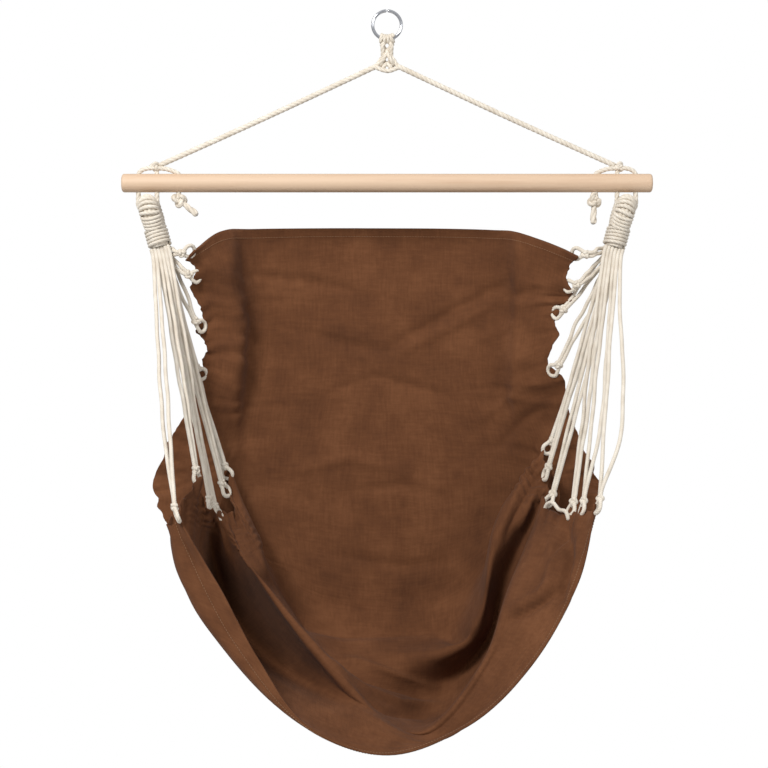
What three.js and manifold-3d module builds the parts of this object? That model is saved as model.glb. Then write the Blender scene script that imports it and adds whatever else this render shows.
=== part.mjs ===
// A hanging hammock chair: a cloth sling on two fans of cords, a wooden spreader bar and a steel ring.
// Millimetres, +Z up, the sitter faces -Y. The origin is the highest point inside the ring, where a hook bears.
import * as THREE from 'three';
import { mergeVertices } from 'three/addons/utils/BufferGeometryUtils.js';
import Module from 'manifold-3d';

const wasm = await Module();
wasm.setup();

// Clearances that every piece shares.
const SEAT_GAP = 0.3;
const LEAST_TURN_GAP = 0.5;
const CUT_OVERRUN = 5;
const MERGE_DISTANCE = 0.001;

// The ring, a wire bent round with its ends butted at the top.
const RING_OUTER_DIAMETER = 60;
const RING_WIRE_DIAMETER = 6;
const RING_JOINT_GAP = 0.5;
const RING_STEPS = 36;

// Ropes and cords.
const ROPE_DIAMETER = 9.5;
const CORD_DIAMETER = 6;
const LASHING_CORD_DIAMETER = 4.6;
const WINDING_CORD_DIAMETER = 6;
const WHIPPING_CORD_DIAMETER = 6;
const ROPE_SIDES = 8;
const CORD_SIDES = 6;
const TURN_STEPS = 12;
const LOOP_STEPS = 4;
const BEND_STEPS = 4;
const EYE_CORE_STEPS = 24;
const WINDING_SLICES = 600;

// The lashing on the ring.
const LASHING_TURNS = 5;

// The crown knot under the ring.
const CROWN_HEIGHT = 53;
const CROWN_TOP_WIDTH = 31;
const CROWN_WAIST_WIDTH = 24;
const CROWN_STRAND_DIAMETER = 7.5;
const CROWN_DEPTH = 17;
const CROWN_ROW_CORD_DIAMETER = 6;
const ROPE_EXIT_SPREAD = 56;
const ROPE_EXIT_DROP = 105;

// The spreader bar and its holes.
const BAR_LENGTH = 1000;
const BAR_DIAMETER = 35;
const BAR_DROP = 322;
const BAR_END_ROUND = 5;
const BAR_SIDES = 20;
const END_ROUND_STEPS = 2;
const HOLE_DIAMETER = 11;
const OUTER_HOLE_INSET = 31;
const BIGHT_SPAN = 35;
const STOPPER_HOLE_GAP = 41;
const STRAND_SINK = 8;

// The hitch knots on the bar and the stopper knots under it.
const HITCH_INSET = 63;
const HITCH_RISE = 12.5;
const HITCH_RING_RADIUS = 6.4;
const HITCH_STUB = 17;
const STOPPER_RING_RADIUS = 6.2;
const STOPPER_DROP = 11;
const STOPPER_TAIL = 32;

// The eyes: a core bent over the bight, its winding, and the whipping at the neck.
const EYE_CREST_CORE_DIAMETER = 10.8;
const EYE_LEG_CORE_DIAMETER = 24;
const EYE_FOOT_CORE_DIAMETER = 19;
const EYE_CREST_RUN = 6;
const EYE_SHOULDER_RUN = 34;
const EYE_FOOT_RUN = 78;
const EYE_BEND_RADIUS = 27;
const EYE_NECK_HALF_DEPTH = 16;
const EYE_BAR_CLEARANCE = 4;
const NECK_LEAN = 24;
const NECK_WIDTH = 32;
const NECK_DEPTH = 56;
const NECK_LENGTH = 33;
const NECK_DROP = 121;
const WHIPPING_TURNS = 4;
const WINDING_TURN_GAP = 1.5;
const NECK_SIDES = 20;

// The fans of cords.
const FAN_PITCH = 6.5;
const FAN_ROW_PITCH = 12;
const FAN_STRAIGHT = 14;
const FAN_OPENING = 11;
const LOOP_RADIUS = 11;
const LOOP_CLEARING_RISE = 0.5;
const LOOP_CLEARING_STEPS = 12;
const LOOP_TURN_SHARE = 0.3;
const KNOT_RISE = 16;
const KNOT_LEAD = 14;
const KNOT_LENGTH = 17;
const KNOT_DIAMETER = 13;
const KNOT_RINGS = 3;
const EDGE_SAMPLE_SHARE = 0.02;
const SLACK_BOW = 26;

// The cloth sling. Its points are shares of its half width, its depth and its drop, from the bar's axis and the
// plumb line; its half width ends short of the bar's end.
const SLING_INSET = 150;
const SLING_DEPTH = 390;
const SLING_DROP = 1020;
const CLOTH_THICKNESS = 3;
const SLING_SETBACK = 28;
const COLUMNS_PER_SPAN = 3;
const ROWS_PER_SPAN = 2;

// Colours, roughness and metalness of the finishes.
const FINISHES = {
  steel: new THREE.MeshStandardMaterial({ color: 0xb4b6ba, roughness: 0.25, metalness: 1 }),
  cotton: new THREE.MeshStandardMaterial({ color: 0xe4dccb, roughness: 0.9, metalness: 0 }),
  wood: new THREE.MeshStandardMaterial({ color: 0xe4c6a2, roughness: 0.6, metalness: 0 }),
  canvas: new THREE.MeshStandardMaterial({ color: 0x5f3c26, roughness: 0.95, metalness: 0 }),
};

const SIDES = [
  { name: 'left', sign: -1 },
  { name: 'right', sign: 1 },
];

// Places worked out from the sizes above.
const ringRadius = (RING_OUTER_DIAMETER - RING_WIRE_DIAMETER) / 2;
const ringCentreZ = -(RING_OUTER_DIAMETER / 2 - RING_WIRE_DIAMETER);
const ringBottomZ = ringCentreZ - ringRadius;
const barZ = -BAR_DROP;
const barTopZ = barZ + BAR_DIAMETER / 2;
const barBottomZ = barZ - BAR_DIAMETER / 2;
// A turn is a polygon: its corners stand out by this much so that its flats still clear what it goes round.
const cornerShare = 1 / Math.cos(Math.PI / TURN_STEPS);
const windingRadius = (core) => (core / 2 + SEAT_GAP + WINDING_CORD_DIAMETER / 2) * cornerShare;
const crestRadius = windingRadius(EYE_CREST_CORE_DIAMETER) + WINDING_CORD_DIAMETER / 2;
const eyeTopZ = barBottomZ - EYE_BAR_CLEARANCE - crestRadius;
const bightRunZ = eyeTopZ - crestRadius / cornerShare - SEAT_GAP - ROPE_DIAMETER / 2;
const outerHoleX = BAR_LENGTH / 2 - OUTER_HOLE_INSET;
const eyeX = outerHoleX - BIGHT_SPAN / 2;
const slingHalfWidth = BAR_LENGTH / 2 - SLING_INSET;
const neckBottomZ = barZ - NECK_DROP;
const strandEndZ = barTopZ - STRAND_SINK;

const vec = (x, y, z) => new THREE.Vector3(x, y, z);

// A closed mesh as a solid for joining and cutting.
function solidOf(geometry) {
  const bare = geometry.clone();
  bare.deleteAttribute('normal');
  bare.deleteAttribute('uv');
  const merged = mergeVertices(bare, MERGE_DISTANCE);
  const mesh = new wasm.Mesh({
    numProp: 3,
    vertProperties: new Float32Array(merged.attributes.position.array),
    triVerts: new Uint32Array(merged.index.array),
  });
  return new wasm.Manifold(mesh);
}

// The geometry of a joined or cut solid.
function geometryOf(solid) {
  const mesh = solid.getMesh();
  const geometry = new THREE.BufferGeometry();
  geometry.setAttribute('position', new THREE.BufferAttribute(mesh.vertProperties, 3));
  geometry.setIndex(new THREE.BufferAttribute(mesh.triVerts, 1));
  geometry.computeVertexNormals();
  return geometry;
}

// Several closed geometries joined into one body.
function joined(geometries) {
  const solids = geometries.map(solidOf);
  return solids.reduce((whole, next) => whole.add(next));
}

// Unit directions of a path at each of its points, along the bisector of the two stretches that meet there.
function pathDirections(points) {
  const last = points.length - 1;
  return points.map((point, i) => {
    const into = points[Math.max(i, 1)].clone().sub(points[Math.max(i, 1) - 1]).normalize();
    const outOf = points[Math.min(i, last - 1) + 1].clone().sub(points[Math.min(i, last - 1)]).normalize();
    return into.add(outOf).normalize();
  });
}

// A unit vector square to a direction.
function squareTo(direction) {
  const axis = Math.abs(direction.x) < Math.SQRT1_2 ? vec(1, 0, 0) : vec(0, 1, 0);
  return axis.addScaledVector(direction, -axis.dot(direction)).normalize();
}

// A closed round tube with a ring of points at each point of its path and flat ends, of one diameter or of one for
// each point.
function tube(points, diameter, sides) {
  const directions = pathDirections(points);
  const positions = [];
  let normal = squareTo(directions[0]);
  points.forEach((point, i) => {
    const direction = directions[i];
    normal = normal.clone().addScaledVector(direction, -normal.dot(direction)).normalize();
    const binormal = direction.clone().cross(normal);
    const radius = (Array.isArray(diameter) ? diameter[i] : diameter) / 2;
    for (let k = 0; k < sides; k++) {
      const angle = (2 * Math.PI * k) / sides;
      const corner = point.clone();
      corner.addScaledVector(normal, radius * Math.cos(angle));
      corner.addScaledVector(binormal, radius * Math.sin(angle));
      positions.push(corner.x, corner.y, corner.z);
    }
  });
  const rings = points.length;
  const startCentre = rings * sides;
  const endCentre = startCentre + 1;
  positions.push(...points[0].toArray(), ...points[rings - 1].toArray());
  const indices = [];
  for (let k = 0; k < sides; k++) {
    const next = (k + 1) % sides;
    for (let i = 0; i < rings - 1; i++) {
      const low = i * sides;
      const high = low + sides;
      indices.push(low + k, low + next, high + next, low + k, high + next, high + k);
    }
    const top = (rings - 1) * sides;
    indices.push(startCentre, next, k, endCentre, top + k, top + next);
  }
  const geometry = new THREE.BufferGeometry();
  geometry.setAttribute('position', new THREE.Float32BufferAttribute(positions, 3));
  geometry.setIndex(indices);
  geometry.computeVertexNormals();
  return geometry;
}

// A torus turned to face a direction, as one loop of a knot.
function knotLoop(centre, facing, radius, diameter) {
  const geometry = new THREE.TorusGeometry(radius, diameter / 2, CORD_SIDES, TURN_STEPS);
  const turn = new THREE.Quaternion().setFromUnitVectors(vec(0, 0, 1), facing.clone().normalize());
  return geometry.applyQuaternion(turn).translate(centre.x, centre.y, centre.z);
}

// The rope crossing inside a knot's loops.
function knotHeart(centre, radius) {
  return new THREE.SphereGeometry(radius, CORD_SIDES, CORD_SIDES / 2).translate(centre.x, centre.y, centre.z);
}

// The smallest gap between turns of a wound cord, measured between its points and half a turn apart or more.
function leastGap(name, points, diameter, stepsPerTurn) {
  let least = Infinity;
  for (let i = 0; i < points.length; i++) {
    for (let j = i + Math.ceil(stepsPerTurn / 2); j < points.length; j++) {
      least = Math.min(least, points[i].distanceTo(points[j]) - diameter);
    }
  }
  console.log(`${name}: least gap between turns ${least.toFixed(2)} mm`);
}

const part = new THREE.Group();

// Puts one piece, with its name and finish, into a group.
function addPiece(group, name, geometry, finish) {
  const mesh = new THREE.Mesh(geometry, finish);
  mesh.name = name;
  group.add(mesh);
}

// The steel ring: an arc of wire that stops short of a full turn by the joint's gap.
function hangingRing() {
  const halfGap = RING_JOINT_GAP / 2 / ringRadius;
  const points = [];
  for (let i = 0; i <= RING_STEPS; i++) {
    const angle = halfGap + ((2 * Math.PI - 2 * halfGap) * i) / RING_STEPS;
    points.push(vec(ringRadius * Math.sin(angle), 0, ringCentreZ + ringRadius * Math.cos(angle)));
  }
  return tube(points, RING_WIRE_DIAMETER, ROPE_SIDES);
}

// The lashing: a helix round the lowest stretch of the ring's wire, as close as its inner turns allow.
function ringLashing() {
  const helixRadius = RING_WIRE_DIAMETER / 2 + SEAT_GAP + LASHING_CORD_DIAMETER / 2;
  const innerShare = (ringRadius - helixRadius) / ringRadius;
  const pitch = (LASHING_CORD_DIAMETER + LEAST_TURN_GAP) / innerShare;
  const steps = LASHING_TURNS * TURN_STEPS;
  const points = [];
  for (let i = 0; i <= steps; i++) {
    const turn = i / TURN_STEPS;
    const along = ((turn - LASHING_TURNS / 2) * pitch) / ringRadius;
    const phase = 2 * Math.PI * turn;
    const outward = ringRadius + helixRadius * Math.cos(phase);
    points.push(vec(
      outward * Math.sin(along),
      helixRadius * Math.sin(phase),
      ringCentreZ - outward * Math.cos(along),
    ));
  }
  leastGap('ring lashing', points, LASHING_CORD_DIAMETER, TURN_STEPS);
  return tube(points, LASHING_CORD_DIAMETER, CORD_SIDES);
}

const lashingOuterRadius = RING_WIRE_DIAMETER / 2 + SEAT_GAP + LASHING_CORD_DIAMETER;
const crownTopZ = ringBottomZ - lashingOuterRadius - SEAT_GAP;

const ropeExit = (sign) => vec((sign * ROPE_EXIT_SPREAD) / 2, 0, -ROPE_EXIT_DROP);
const hitchCentre = (sign) => vec(sign * (BAR_LENGTH / 2 - HITCH_INSET), 0, barTopZ + HITCH_RISE);
const ropeDirection = (sign) => hitchCentre(sign).sub(ropeExit(sign)).normalize();

// The crown knot: outer strands that flare into the two ropes, inner strands and two rows of turns round them.
function crownKnot() {
  const topHalf = (CROWN_TOP_WIDTH - CROWN_STRAND_DIAMETER) / 2;
  const waistHalf = (CROWN_WAIST_WIDTH - CROWN_STRAND_DIAMETER) / 2;
  const layer = (CROWN_DEPTH - CROWN_STRAND_DIAMETER) / 2;
  const level = (share) => crownTopZ - share * CROWN_HEIGHT;
  const waistShare = 0.35;
  const flareShare = 0.72;
  const shapes = [];
  for (const { sign } of SIDES) {
    const exit = ropeExit(sign);
    shapes.push(tube([
      vec(sign * topHalf, 0, crownTopZ),
      vec(sign * waistHalf, 0, level(waistShare)),
      vec(sign * topHalf, 0, level(flareShare)),
      exit.clone().addScaledVector(ropeDirection(sign), -ROPE_DIAMETER / 2),
      exit,
    ], ROPE_DIAMETER, ROPE_SIDES));
    for (const front of [-1, 1]) {
      shapes.push(tube([
        vec((sign * topHalf) / 3, front * layer, crownTopZ),
        vec((sign * waistHalf) / 3, front * layer, level(waistShare)),
        vec((sign * topHalf) / 3, front * layer, level(flareShare)),
        vec(0, 0, level(1) + CROWN_STRAND_DIAMETER / 2),
      ], CROWN_STRAND_DIAMETER, CORD_SIDES));
    }
  }
  const rowShares = [[0.22, 1.02], [0.66, 1.28]];
  for (const [levelShare, widthShare] of rowShares) {
    const row = new THREE.TorusGeometry(
      (widthShare * CROWN_WAIST_WIDTH) / 2,
      CROWN_ROW_CORD_DIAMETER / 2,
      CORD_SIDES,
      TURN_STEPS,
    );
    row.scale(1, CROWN_DEPTH / (widthShare * CROWN_WAIST_WIDTH), 1);
    shapes.push(row.translate(0, 0, level(levelShare)));
  }
  return geometryOf(joined(shapes));
}

// A suspension rope, from the crown knot to the hitch's stub.
function suspensionRope(sign) {
  const direction = ropeDirection(sign);
  const start = ropeExit(sign).addScaledVector(direction, SEAT_GAP);
  const end = hitchCentre(sign).addScaledVector(direction, -(HITCH_STUB + SEAT_GAP));
  const section = new THREE.Shape().absarc(0, 0, ROPE_DIAMETER / 2, 0, 2 * Math.PI);
  const path = new THREE.LineCurve3(start, end);
  const options = { steps: 2, bevelEnabled: false, extrudePath: path, curveSegments: ROPE_SIDES };
  return new THREE.ExtrudeGeometry(section, options);
}

// Where the holes stand on one side, from the bar's end inwards: two for the bight and one for the stopper.
function holePlaces(sign) {
  const inner = outerHoleX - BIGHT_SPAN;
  return [outerHoleX, inner, inner - STOPPER_HOLE_GAP].map((x) => sign * x);
}

// The bar: a turned round with softened ends, drilled upright at every hole.
function spreaderBar() {
  const radius = BAR_DIAMETER / 2;
  const profile = new THREE.Path();
  profile.moveTo(0, -BAR_LENGTH / 2);
  profile.lineTo(radius - BAR_END_ROUND, -BAR_LENGTH / 2);
  profile.absarc(radius - BAR_END_ROUND, BAR_END_ROUND - BAR_LENGTH / 2, BAR_END_ROUND, -Math.PI / 2, 0);
  profile.absarc(radius - BAR_END_ROUND, BAR_LENGTH / 2 - BAR_END_ROUND, BAR_END_ROUND, 0, Math.PI / 2);
  profile.lineTo(0, BAR_LENGTH / 2);
  const round = new THREE.LatheGeometry(profile.getPoints(END_ROUND_STEPS), BAR_SIDES).rotateZ(-Math.PI / 2);
  let bar = solidOf(round.translate(0, 0, barZ));
  for (const { sign } of SIDES) {
    for (const x of holePlaces(sign)) {
      const depth = BAR_DIAMETER + 2 * CUT_OVERRUN;
      const drill = new THREE.CylinderGeometry(HOLE_DIAMETER / 2, HOLE_DIAMETER / 2, depth, TURN_STEPS);
      bar = bar.subtract(solidOf(drill.rotateX(Math.PI / 2).translate(x, 0, barZ)));
    }
  }
  return geometryOf(bar);
}

// A hitch: loops round the rope's end, and a strand laid over the bar into each of its three holes.
function hitchKnot(sign) {
  const centre = hitchCentre(sign);
  const direction = ropeDirection(sign);
  const lean = vec(0, 1, 0);
  const shapes = [
    knotLoop(centre, direction.clone().add(lean), HITCH_RING_RADIUS, ROPE_DIAMETER),
    knotLoop(centre, direction.clone().sub(lean), HITCH_RING_RADIUS, ROPE_DIAMETER),
    knotHeart(centre, HITCH_RING_RADIUS),
    tube([centre.clone().addScaledVector(direction, -HITCH_STUB), centre.clone()], ROPE_DIAMETER, ROPE_SIDES),
  ];
  const laidZ = barTopZ + SEAT_GAP + ROPE_DIAMETER / 2;
  for (const x of holePlaces(sign)) {
    const half = vec((centre.x + x) / 2, 0, (centre.z + laidZ) / 2);
    shapes.push(tube([centre.clone(), half, vec(x, 0, laidZ)], ROPE_DIAMETER, ROPE_SIDES));
  }
  const barSpace = new THREE.CylinderGeometry(
    BAR_DIAMETER / 2 + SEAT_GAP,
    BAR_DIAMETER / 2 + SEAT_GAP,
    BAR_LENGTH,
    BAR_SIDES,
  );
  let knot = joined(shapes).subtract(solidOf(barSpace.rotateZ(Math.PI / 2).translate(0, 0, barZ)));
  for (const x of holePlaces(sign)) {
    knot = knot.add(solidOf(tube([vec(x, 0, strandEndZ), vec(x, 0, laidZ)], ROPE_DIAMETER, ROPE_SIDES)));
  }
  return geometryOf(knot);
}

// The bight: down through the outer hole, along under the eye's top and up through the inner hole.
function barBight(sign) {
  const [outer, inner] = holePlaces(sign);
  const top = strandEndZ - SEAT_GAP;
  const bend = BIGHT_SPAN / 4;
  const corner = (x, towards) => [
    vec(x, 0, bightRunZ + bend),
    vec(x + (towards * bend * (1 - Math.SQRT1_2)), 0, bightRunZ + bend * (1 - Math.SQRT1_2)),
    vec(x + towards * bend, 0, bightRunZ),
  ];
  const points = [
    vec(outer, 0, top),
    ...corner(outer, -sign),
    ...corner(inner, sign).reverse(),
    vec(inner, 0, top),
  ];
  return tube(points, ROPE_DIAMETER, ROPE_SIDES);
}

// The stopper: a stem out of the third hole, a loop that closes on it and a tail that hangs off inwards.
function stopperKnot(sign) {
  const x = holePlaces(sign)[2];
  const knotCentre = vec(x - sign * STOPPER_RING_RADIUS / 2, 0, barBottomZ - STOPPER_DROP - ROPE_DIAMETER / 2);
  const tailShare = sign < 0 ? [0.8, 0.6] : [0.05, 1];
  const tailWay = vec(-sign * tailShare[0], 0, -tailShare[1]).normalize();
  const tailEnd = knotCentre.clone().addScaledVector(tailWay, STOPPER_TAIL);
  const across = vec(0, 1, 0);
  return geometryOf(joined([
    tube([vec(x, 0, strandEndZ - SEAT_GAP), vec(x, 0, barBottomZ), knotCentre.clone()], ROPE_DIAMETER, ROPE_SIDES),
    knotLoop(knotCentre, tailWay.clone().add(across), STOPPER_RING_RADIUS, ROPE_DIAMETER),
    knotLoop(knotCentre, tailWay.clone().sub(across), STOPPER_RING_RADIUS, ROPE_DIAMETER),
    knotHeart(knotCentre, STOPPER_RING_RADIUS),
    tube([knotCentre.clone(), tailEnd], ROPE_DIAMETER, ROPE_SIDES),
  ]));
}

// Each eye stands upright about its own axis and is then leaned so that its neck points at the cloth's edge.
const eyeTop = (sign) => vec(sign * eyeX, 0, eyeTopZ);
const neckBottom = (sign) => vec(sign * (eyeX - NECK_LEAN), 0, neckBottomZ);
const eyeLength = eyeTop(1).distanceTo(neckBottom(1));
const legBottomZ = NECK_LENGTH - eyeLength;

// A point of the upright eye in its leaned place.
function leaned(sign, x, y, z) {
  const axis = eyeTop(sign).sub(neckBottom(sign)).normalize();
  return vec(x, y, z).applyQuaternion(new THREE.Quaternion().setFromUnitVectors(vec(0, 0, 1), axis)).add(eyeTop(sign));
}

// The centre line of an eye, up its front leg, over the bight and down its rear leg.
function eyeLine(sign) {
  const front = [
    leaned(sign, 0, -EYE_NECK_HALF_DEPTH, legBottomZ - EYE_FOOT_CORE_DIAMETER / 2),
    leaned(sign, 0, -EYE_NECK_HALF_DEPTH, legBottomZ),
  ];
  for (let i = 0; i < BEND_STEPS; i++) {
    const angle = ((Math.PI / 2) * i) / BEND_STEPS;
    front.push(leaned(sign, 0, -EYE_BEND_RADIUS * Math.cos(angle), EYE_BEND_RADIUS * (Math.sin(angle) - 1)));
  }
  const rear = front.map((point) => vec(point.x, -point.y, point.z)).reverse();
  return new THREE.CatmullRomCurve3([...front, eyeTop(sign), ...rear]);
}

// How thick an eye's core is at a distance along it from the crest: thin where the bight grips it, full at the
// shoulders and slighter where the legs meet.
function coreDiameter(run) {
  const shoulder = THREE.MathUtils.smoothstep(run, EYE_CREST_RUN, EYE_SHOULDER_RUN);
  const foot = THREE.MathUtils.smoothstep(run, EYE_SHOULDER_RUN, EYE_FOOT_RUN);
  const full = THREE.MathUtils.lerp(EYE_CREST_CORE_DIAMETER, EYE_LEG_CORE_DIAMETER, shoulder);
  return THREE.MathUtils.lerp(full, EYE_FOOT_CORE_DIAMETER, foot);
}

// The core of an eye: the bent bundle and the neck that it runs into.
function eyeCore(sign) {
  const line = eyeLine(sign);
  const points = line.getSpacedPoints(EYE_CORE_STEPS);
  const diameters = points.map((_, i) => coreDiameter(line.getLength() * Math.abs(i / EYE_CORE_STEPS - 0.5)));
  const bent = tube(points, diameters, ROPE_SIDES);
  const sections = [-eyeLength, legBottomZ].map((z) => Array.from({ length: NECK_SIDES }, (_, k) => {
    const angle = (2 * Math.PI * k) / NECK_SIDES;
    return leaned(sign, (NECK_WIDTH / 2) * Math.cos(angle), (NECK_DEPTH / 2) * Math.sin(angle), z);
  }));
  const neck = wasm.Manifold.hull(sections.flat().map((point) => point.toArray()));
  return geometryOf(solidOf(bent).add(neck));
}

// The winding of an eye: a helix along the centre line, whose turns open where a bend crowds its inner side.
function eyeWinding(sign) {
  const line = eyeLine(sign);
  line.arcLengthDivisions = WINDING_SLICES;
  const slice = line.getLength() / WINDING_SLICES;
  const frames = line.computeFrenetFrames(WINDING_SLICES, false);
  const reach = Math.ceil(WINDING_CORD_DIAMETER / slice);
  const lowest = leaned(sign, 0, 0, legBottomZ + SEAT_GAP + WINDING_CORD_DIAMETER);
  const points = [];
  let phase = 0;
  line.getSpacedPoints(WINDING_SLICES).forEach((centre, i) => {
    const above = centre.clone().sub(lowest).dot(eyeTop(sign).sub(neckBottom(sign)));
    if (above < 0) return;
    const before = frames.tangents[Math.max(i - reach, 0)];
    const after = frames.tangents[Math.min(i + reach, WINDING_SLICES)];
    const curvature = before.angleTo(after) / (2 * reach * slice);
    const radius = windingRadius(coreDiameter(Math.abs(i - WINDING_SLICES / 2) * slice));
    const pitch = (WINDING_CORD_DIAMETER + WINDING_TURN_GAP) / (1 - radius * curvature);
    if (phase >= points.length / TURN_STEPS) {
      const angle = 2 * Math.PI * phase;
      const point = centre.clone();
      point.addScaledVector(frames.normals[i], radius * Math.cos(angle));
      points.push(point.addScaledVector(frames.binormals[i], radius * Math.sin(angle)));
    }
    phase += slice / pitch;
  });
  leastGap(`eye winding ${sign}`, points, WINDING_CORD_DIAMETER, TURN_STEPS);
  return tube(points, WINDING_CORD_DIAMETER, CORD_SIDES);
}

// The whipping: a flat oval helix round the neck.
function whipping(sign) {
  const reach = SEAT_GAP + WHIPPING_CORD_DIAMETER / 2;
  const pitch = WHIPPING_CORD_DIAMETER + LEAST_TURN_GAP;
  const startZ = SEAT_GAP + WHIPPING_CORD_DIAMETER / 2 - eyeLength;
  const steps = WHIPPING_TURNS * TURN_STEPS;
  const points = [];
  for (let i = 0; i <= steps; i++) {
    const turn = i / TURN_STEPS;
    const phase = 2 * Math.PI * turn;
    points.push(leaned(
      sign,
      (NECK_WIDTH / 2 + reach) * cornerShare * Math.cos(phase),
      (NECK_DEPTH / 2 + reach) * cornerShare * Math.sin(phase),
      startZ + turn * pitch,
    ));
  }
  leastGap(`whipping ${sign}`, points, WHIPPING_CORD_DIAMETER, TURN_STEPS);
  return tube(points, WHIPPING_CORD_DIAMETER, CORD_SIDES);
}

// The sling's net, from the top hem down the back, along the seat and up to the front hem. Each row holds the
// left edge, five points of the cloth between, and the right edge, as shares of the half width, the depth and
// the drop.
const netShares = [
  [[-1.031, -0.077, 0.121], [-0.86, 0.218, 0.079], [-0.457, 0.236, 0.074], [-0.029, 0.226, 0.074],
    [0.386, 0.236, 0.075], [0.734, 0.218, 0.083], [0.989, -0.077, 0.127]],
  [[-1.006, -0.013, 0.171], [-0.857, 0.221, 0.155], [-0.457, 0.246, 0.15], [-0.029, 0.236, 0.15],
    [0.386, 0.246, 0.152], [0.734, 0.221, 0.157], [0.954, -0.013, 0.187]],
  [[-0.986, 0.051, 0.266], [-0.846, 0.226, 0.248], [-0.457, 0.251, 0.243], [-0.029, 0.244, 0.243],
    [0.386, 0.251, 0.245], [0.737, 0.226, 0.243], [0.894, 0.051, 0.239]],
  [[-0.989, 0.077, 0.359], [-0.834, 0.226, 0.361], [-0.457, 0.251, 0.361], [-0.029, 0.246, 0.361],
    [0.386, 0.251, 0.361], [0.734, 0.226, 0.361], [0.88, 0.077, 0.351]],
  [[-1.266, 0.167, 0.533], [-0.857, 0.21, 0.498], [-0.457, 0.249, 0.498], [-0.023, 0.246, 0.498],
    [0.386, 0.249, 0.498], [0.749, 0.21, 0.503], [1.126, 0.167, 0.533]],
  [[-1.129, 0.115, 0.606], [-0.814, 0.185, 0.606], [-0.451, 0.236, 0.624], [-0.017, 0.236, 0.635],
    [0.377, 0.236, 0.625], [0.729, 0.185, 0.606], [1.043, 0.115, 0.591]],
  [[-0.857, 0.051, 0.552], [-0.709, 0.128, 0.665], [-0.4, 0.195, 0.738], [-0.014, 0.215, 0.773],
    [0.357, 0.195, 0.733], [0.671, 0.128, 0.645], [0.857, 0.051, 0.504]],
  [[-0.849, -0.026, 0.58], [-0.586, 0.038, 0.724], [-0.337, 0.115, 0.802], [-0.006, 0.141, 0.836],
    [0.371, 0.051, 0.812], [0.749, -0.103, 0.704], [0.843, -0.026, 0.549]],
  [[-0.88, -0.154, 0.623], [-0.543, -0.128, 0.777], [-0.311, -0.231, 0.869], [0.014, -0.385, 0.967],
    [0.386, -0.474, 0.909], [0.591, -0.449, 0.782], [0.837, -0.154, 0.597]],
  [[-0.929, -0.256, 0.607], [-0.786, -0.282, 0.773], [-0.486, -0.385, 0.91], [0, -0.5, 0.984],
    [0.429, -0.551, 0.922], [0.7, -0.5, 0.792], [0.951, -0.308, 0.611]],
  [[-0.986, -0.385, 0.554], [-0.909, -0.462, 0.773], [-0.491, -0.551, 0.944], [-0.023, -0.59, 0.998],
    [0.451, -0.615, 0.931], [0.8, -0.564, 0.797], [0.994, -0.487, 0.606]],
  [[-1.086, -0.551, 0.591], [-0.857, -0.603, 0.81], [-0.471, -0.628, 0.956], [-0.051, -0.679, 1.01],
    [0.471, -0.672, 0.937], [0.857, -0.641, 0.787], [1.029, -0.603, 0.591]],
  [[-1.04, -0.692, 0.611], [-0.749, -0.731, 0.773], [-0.451, -0.749, 0.938], [-0.08, -0.769, 1.001],
    [0.394, -0.756, 0.952], [0.814, -0.738, 0.773], [1.043, -0.692, 0.597]],
];

const netRows = netShares.map((row) => {
  const points = row.map(([x, y, z]) => vec(
    x * slingHalfWidth,
    y * SLING_DEPTH + SLING_SETBACK,
    barZ - z * SLING_DROP,
  ));
  return new THREE.CatmullRomCurve3(points, false, 'catmullrom', 0.5);
});
const netSpans = netRows.length - 1;
const netColumns = netShares[0].length - 1;

// Rows of the net whose edges carry a cord.
const cordRows = [0, 1, 2, 3, 6, 7, 8, 9, 10, 12];

// A point of the sling: across from the left edge to the right, down from the top hem to the front hem.
function slingPoint(across, down) {
  const column = new THREE.CatmullRomCurve3(
    netRows.map((row) => row.getPoint(across)),
    false,
    'catmullrom',
    0.5,
  );
  return column.getPoint(down);
}

// The sling as a closed sheet of a given thickness: the net's surface moved half of it to each side.
function slingSheet(thickness) {
  const columns = netColumns * COLUMNS_PER_SPAN;
  const rows = netSpans * ROWS_PER_SPAN;
  const grid = [];
  for (let j = 0; j <= rows; j++) {
    grid.push(Array.from({ length: columns + 1 }, (_, i) => slingPoint(i / columns, j / rows)));
  }
  const at = (i, j) => grid[Math.min(Math.max(j, 0), rows)][Math.min(Math.max(i, 0), columns)];
  const positions = [];
  for (const face of [-1, 1]) {
    for (let j = 0; j <= rows; j++) {
      for (let i = 0; i <= columns; i++) {
        const acrossWay = at(i + 1, j).clone().sub(at(i - 1, j));
        const downWay = at(i, j + 1).clone().sub(at(i, j - 1));
        const normal = acrossWay.cross(downWay).normalize();
        positions.push(...at(i, j).clone().addScaledVector(normal, (face * thickness) / 2).toArray());
      }
    }
  }
  const width = columns + 1;
  const layer = width * (rows + 1);
  const indices = [];
  const quad = (a, b, c, d) => indices.push(a, b, c, a, c, d);
  for (let j = 0; j < rows; j++) {
    for (let i = 0; i < columns; i++) {
      const k = j * width + i;
      quad(layer + k, layer + k + 1, layer + k + width + 1, layer + k + width);
      quad(k, k + width, k + width + 1, k + 1);
    }
  }
  for (let i = 0; i < columns; i++) {
    const low = rows * width + i;
    quad(i, i + 1, layer + i + 1, layer + i);
    quad(low, layer + low, layer + low + 1, low + 1);
  }
  for (let j = 0; j < rows; j++) {
    const left = j * width;
    const right = left + columns;
    quad(left, layer + left, layer + left + width, left + width);
    quad(right, right + width, layer + right + width, layer + right);
  }
  const geometry = new THREE.BufferGeometry();
  geometry.setAttribute('position', new THREE.Float32BufferAttribute(positions, 3));
  geometry.setIndex(indices);
  geometry.computeVertexNormals();
  return geometry;
}

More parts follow.
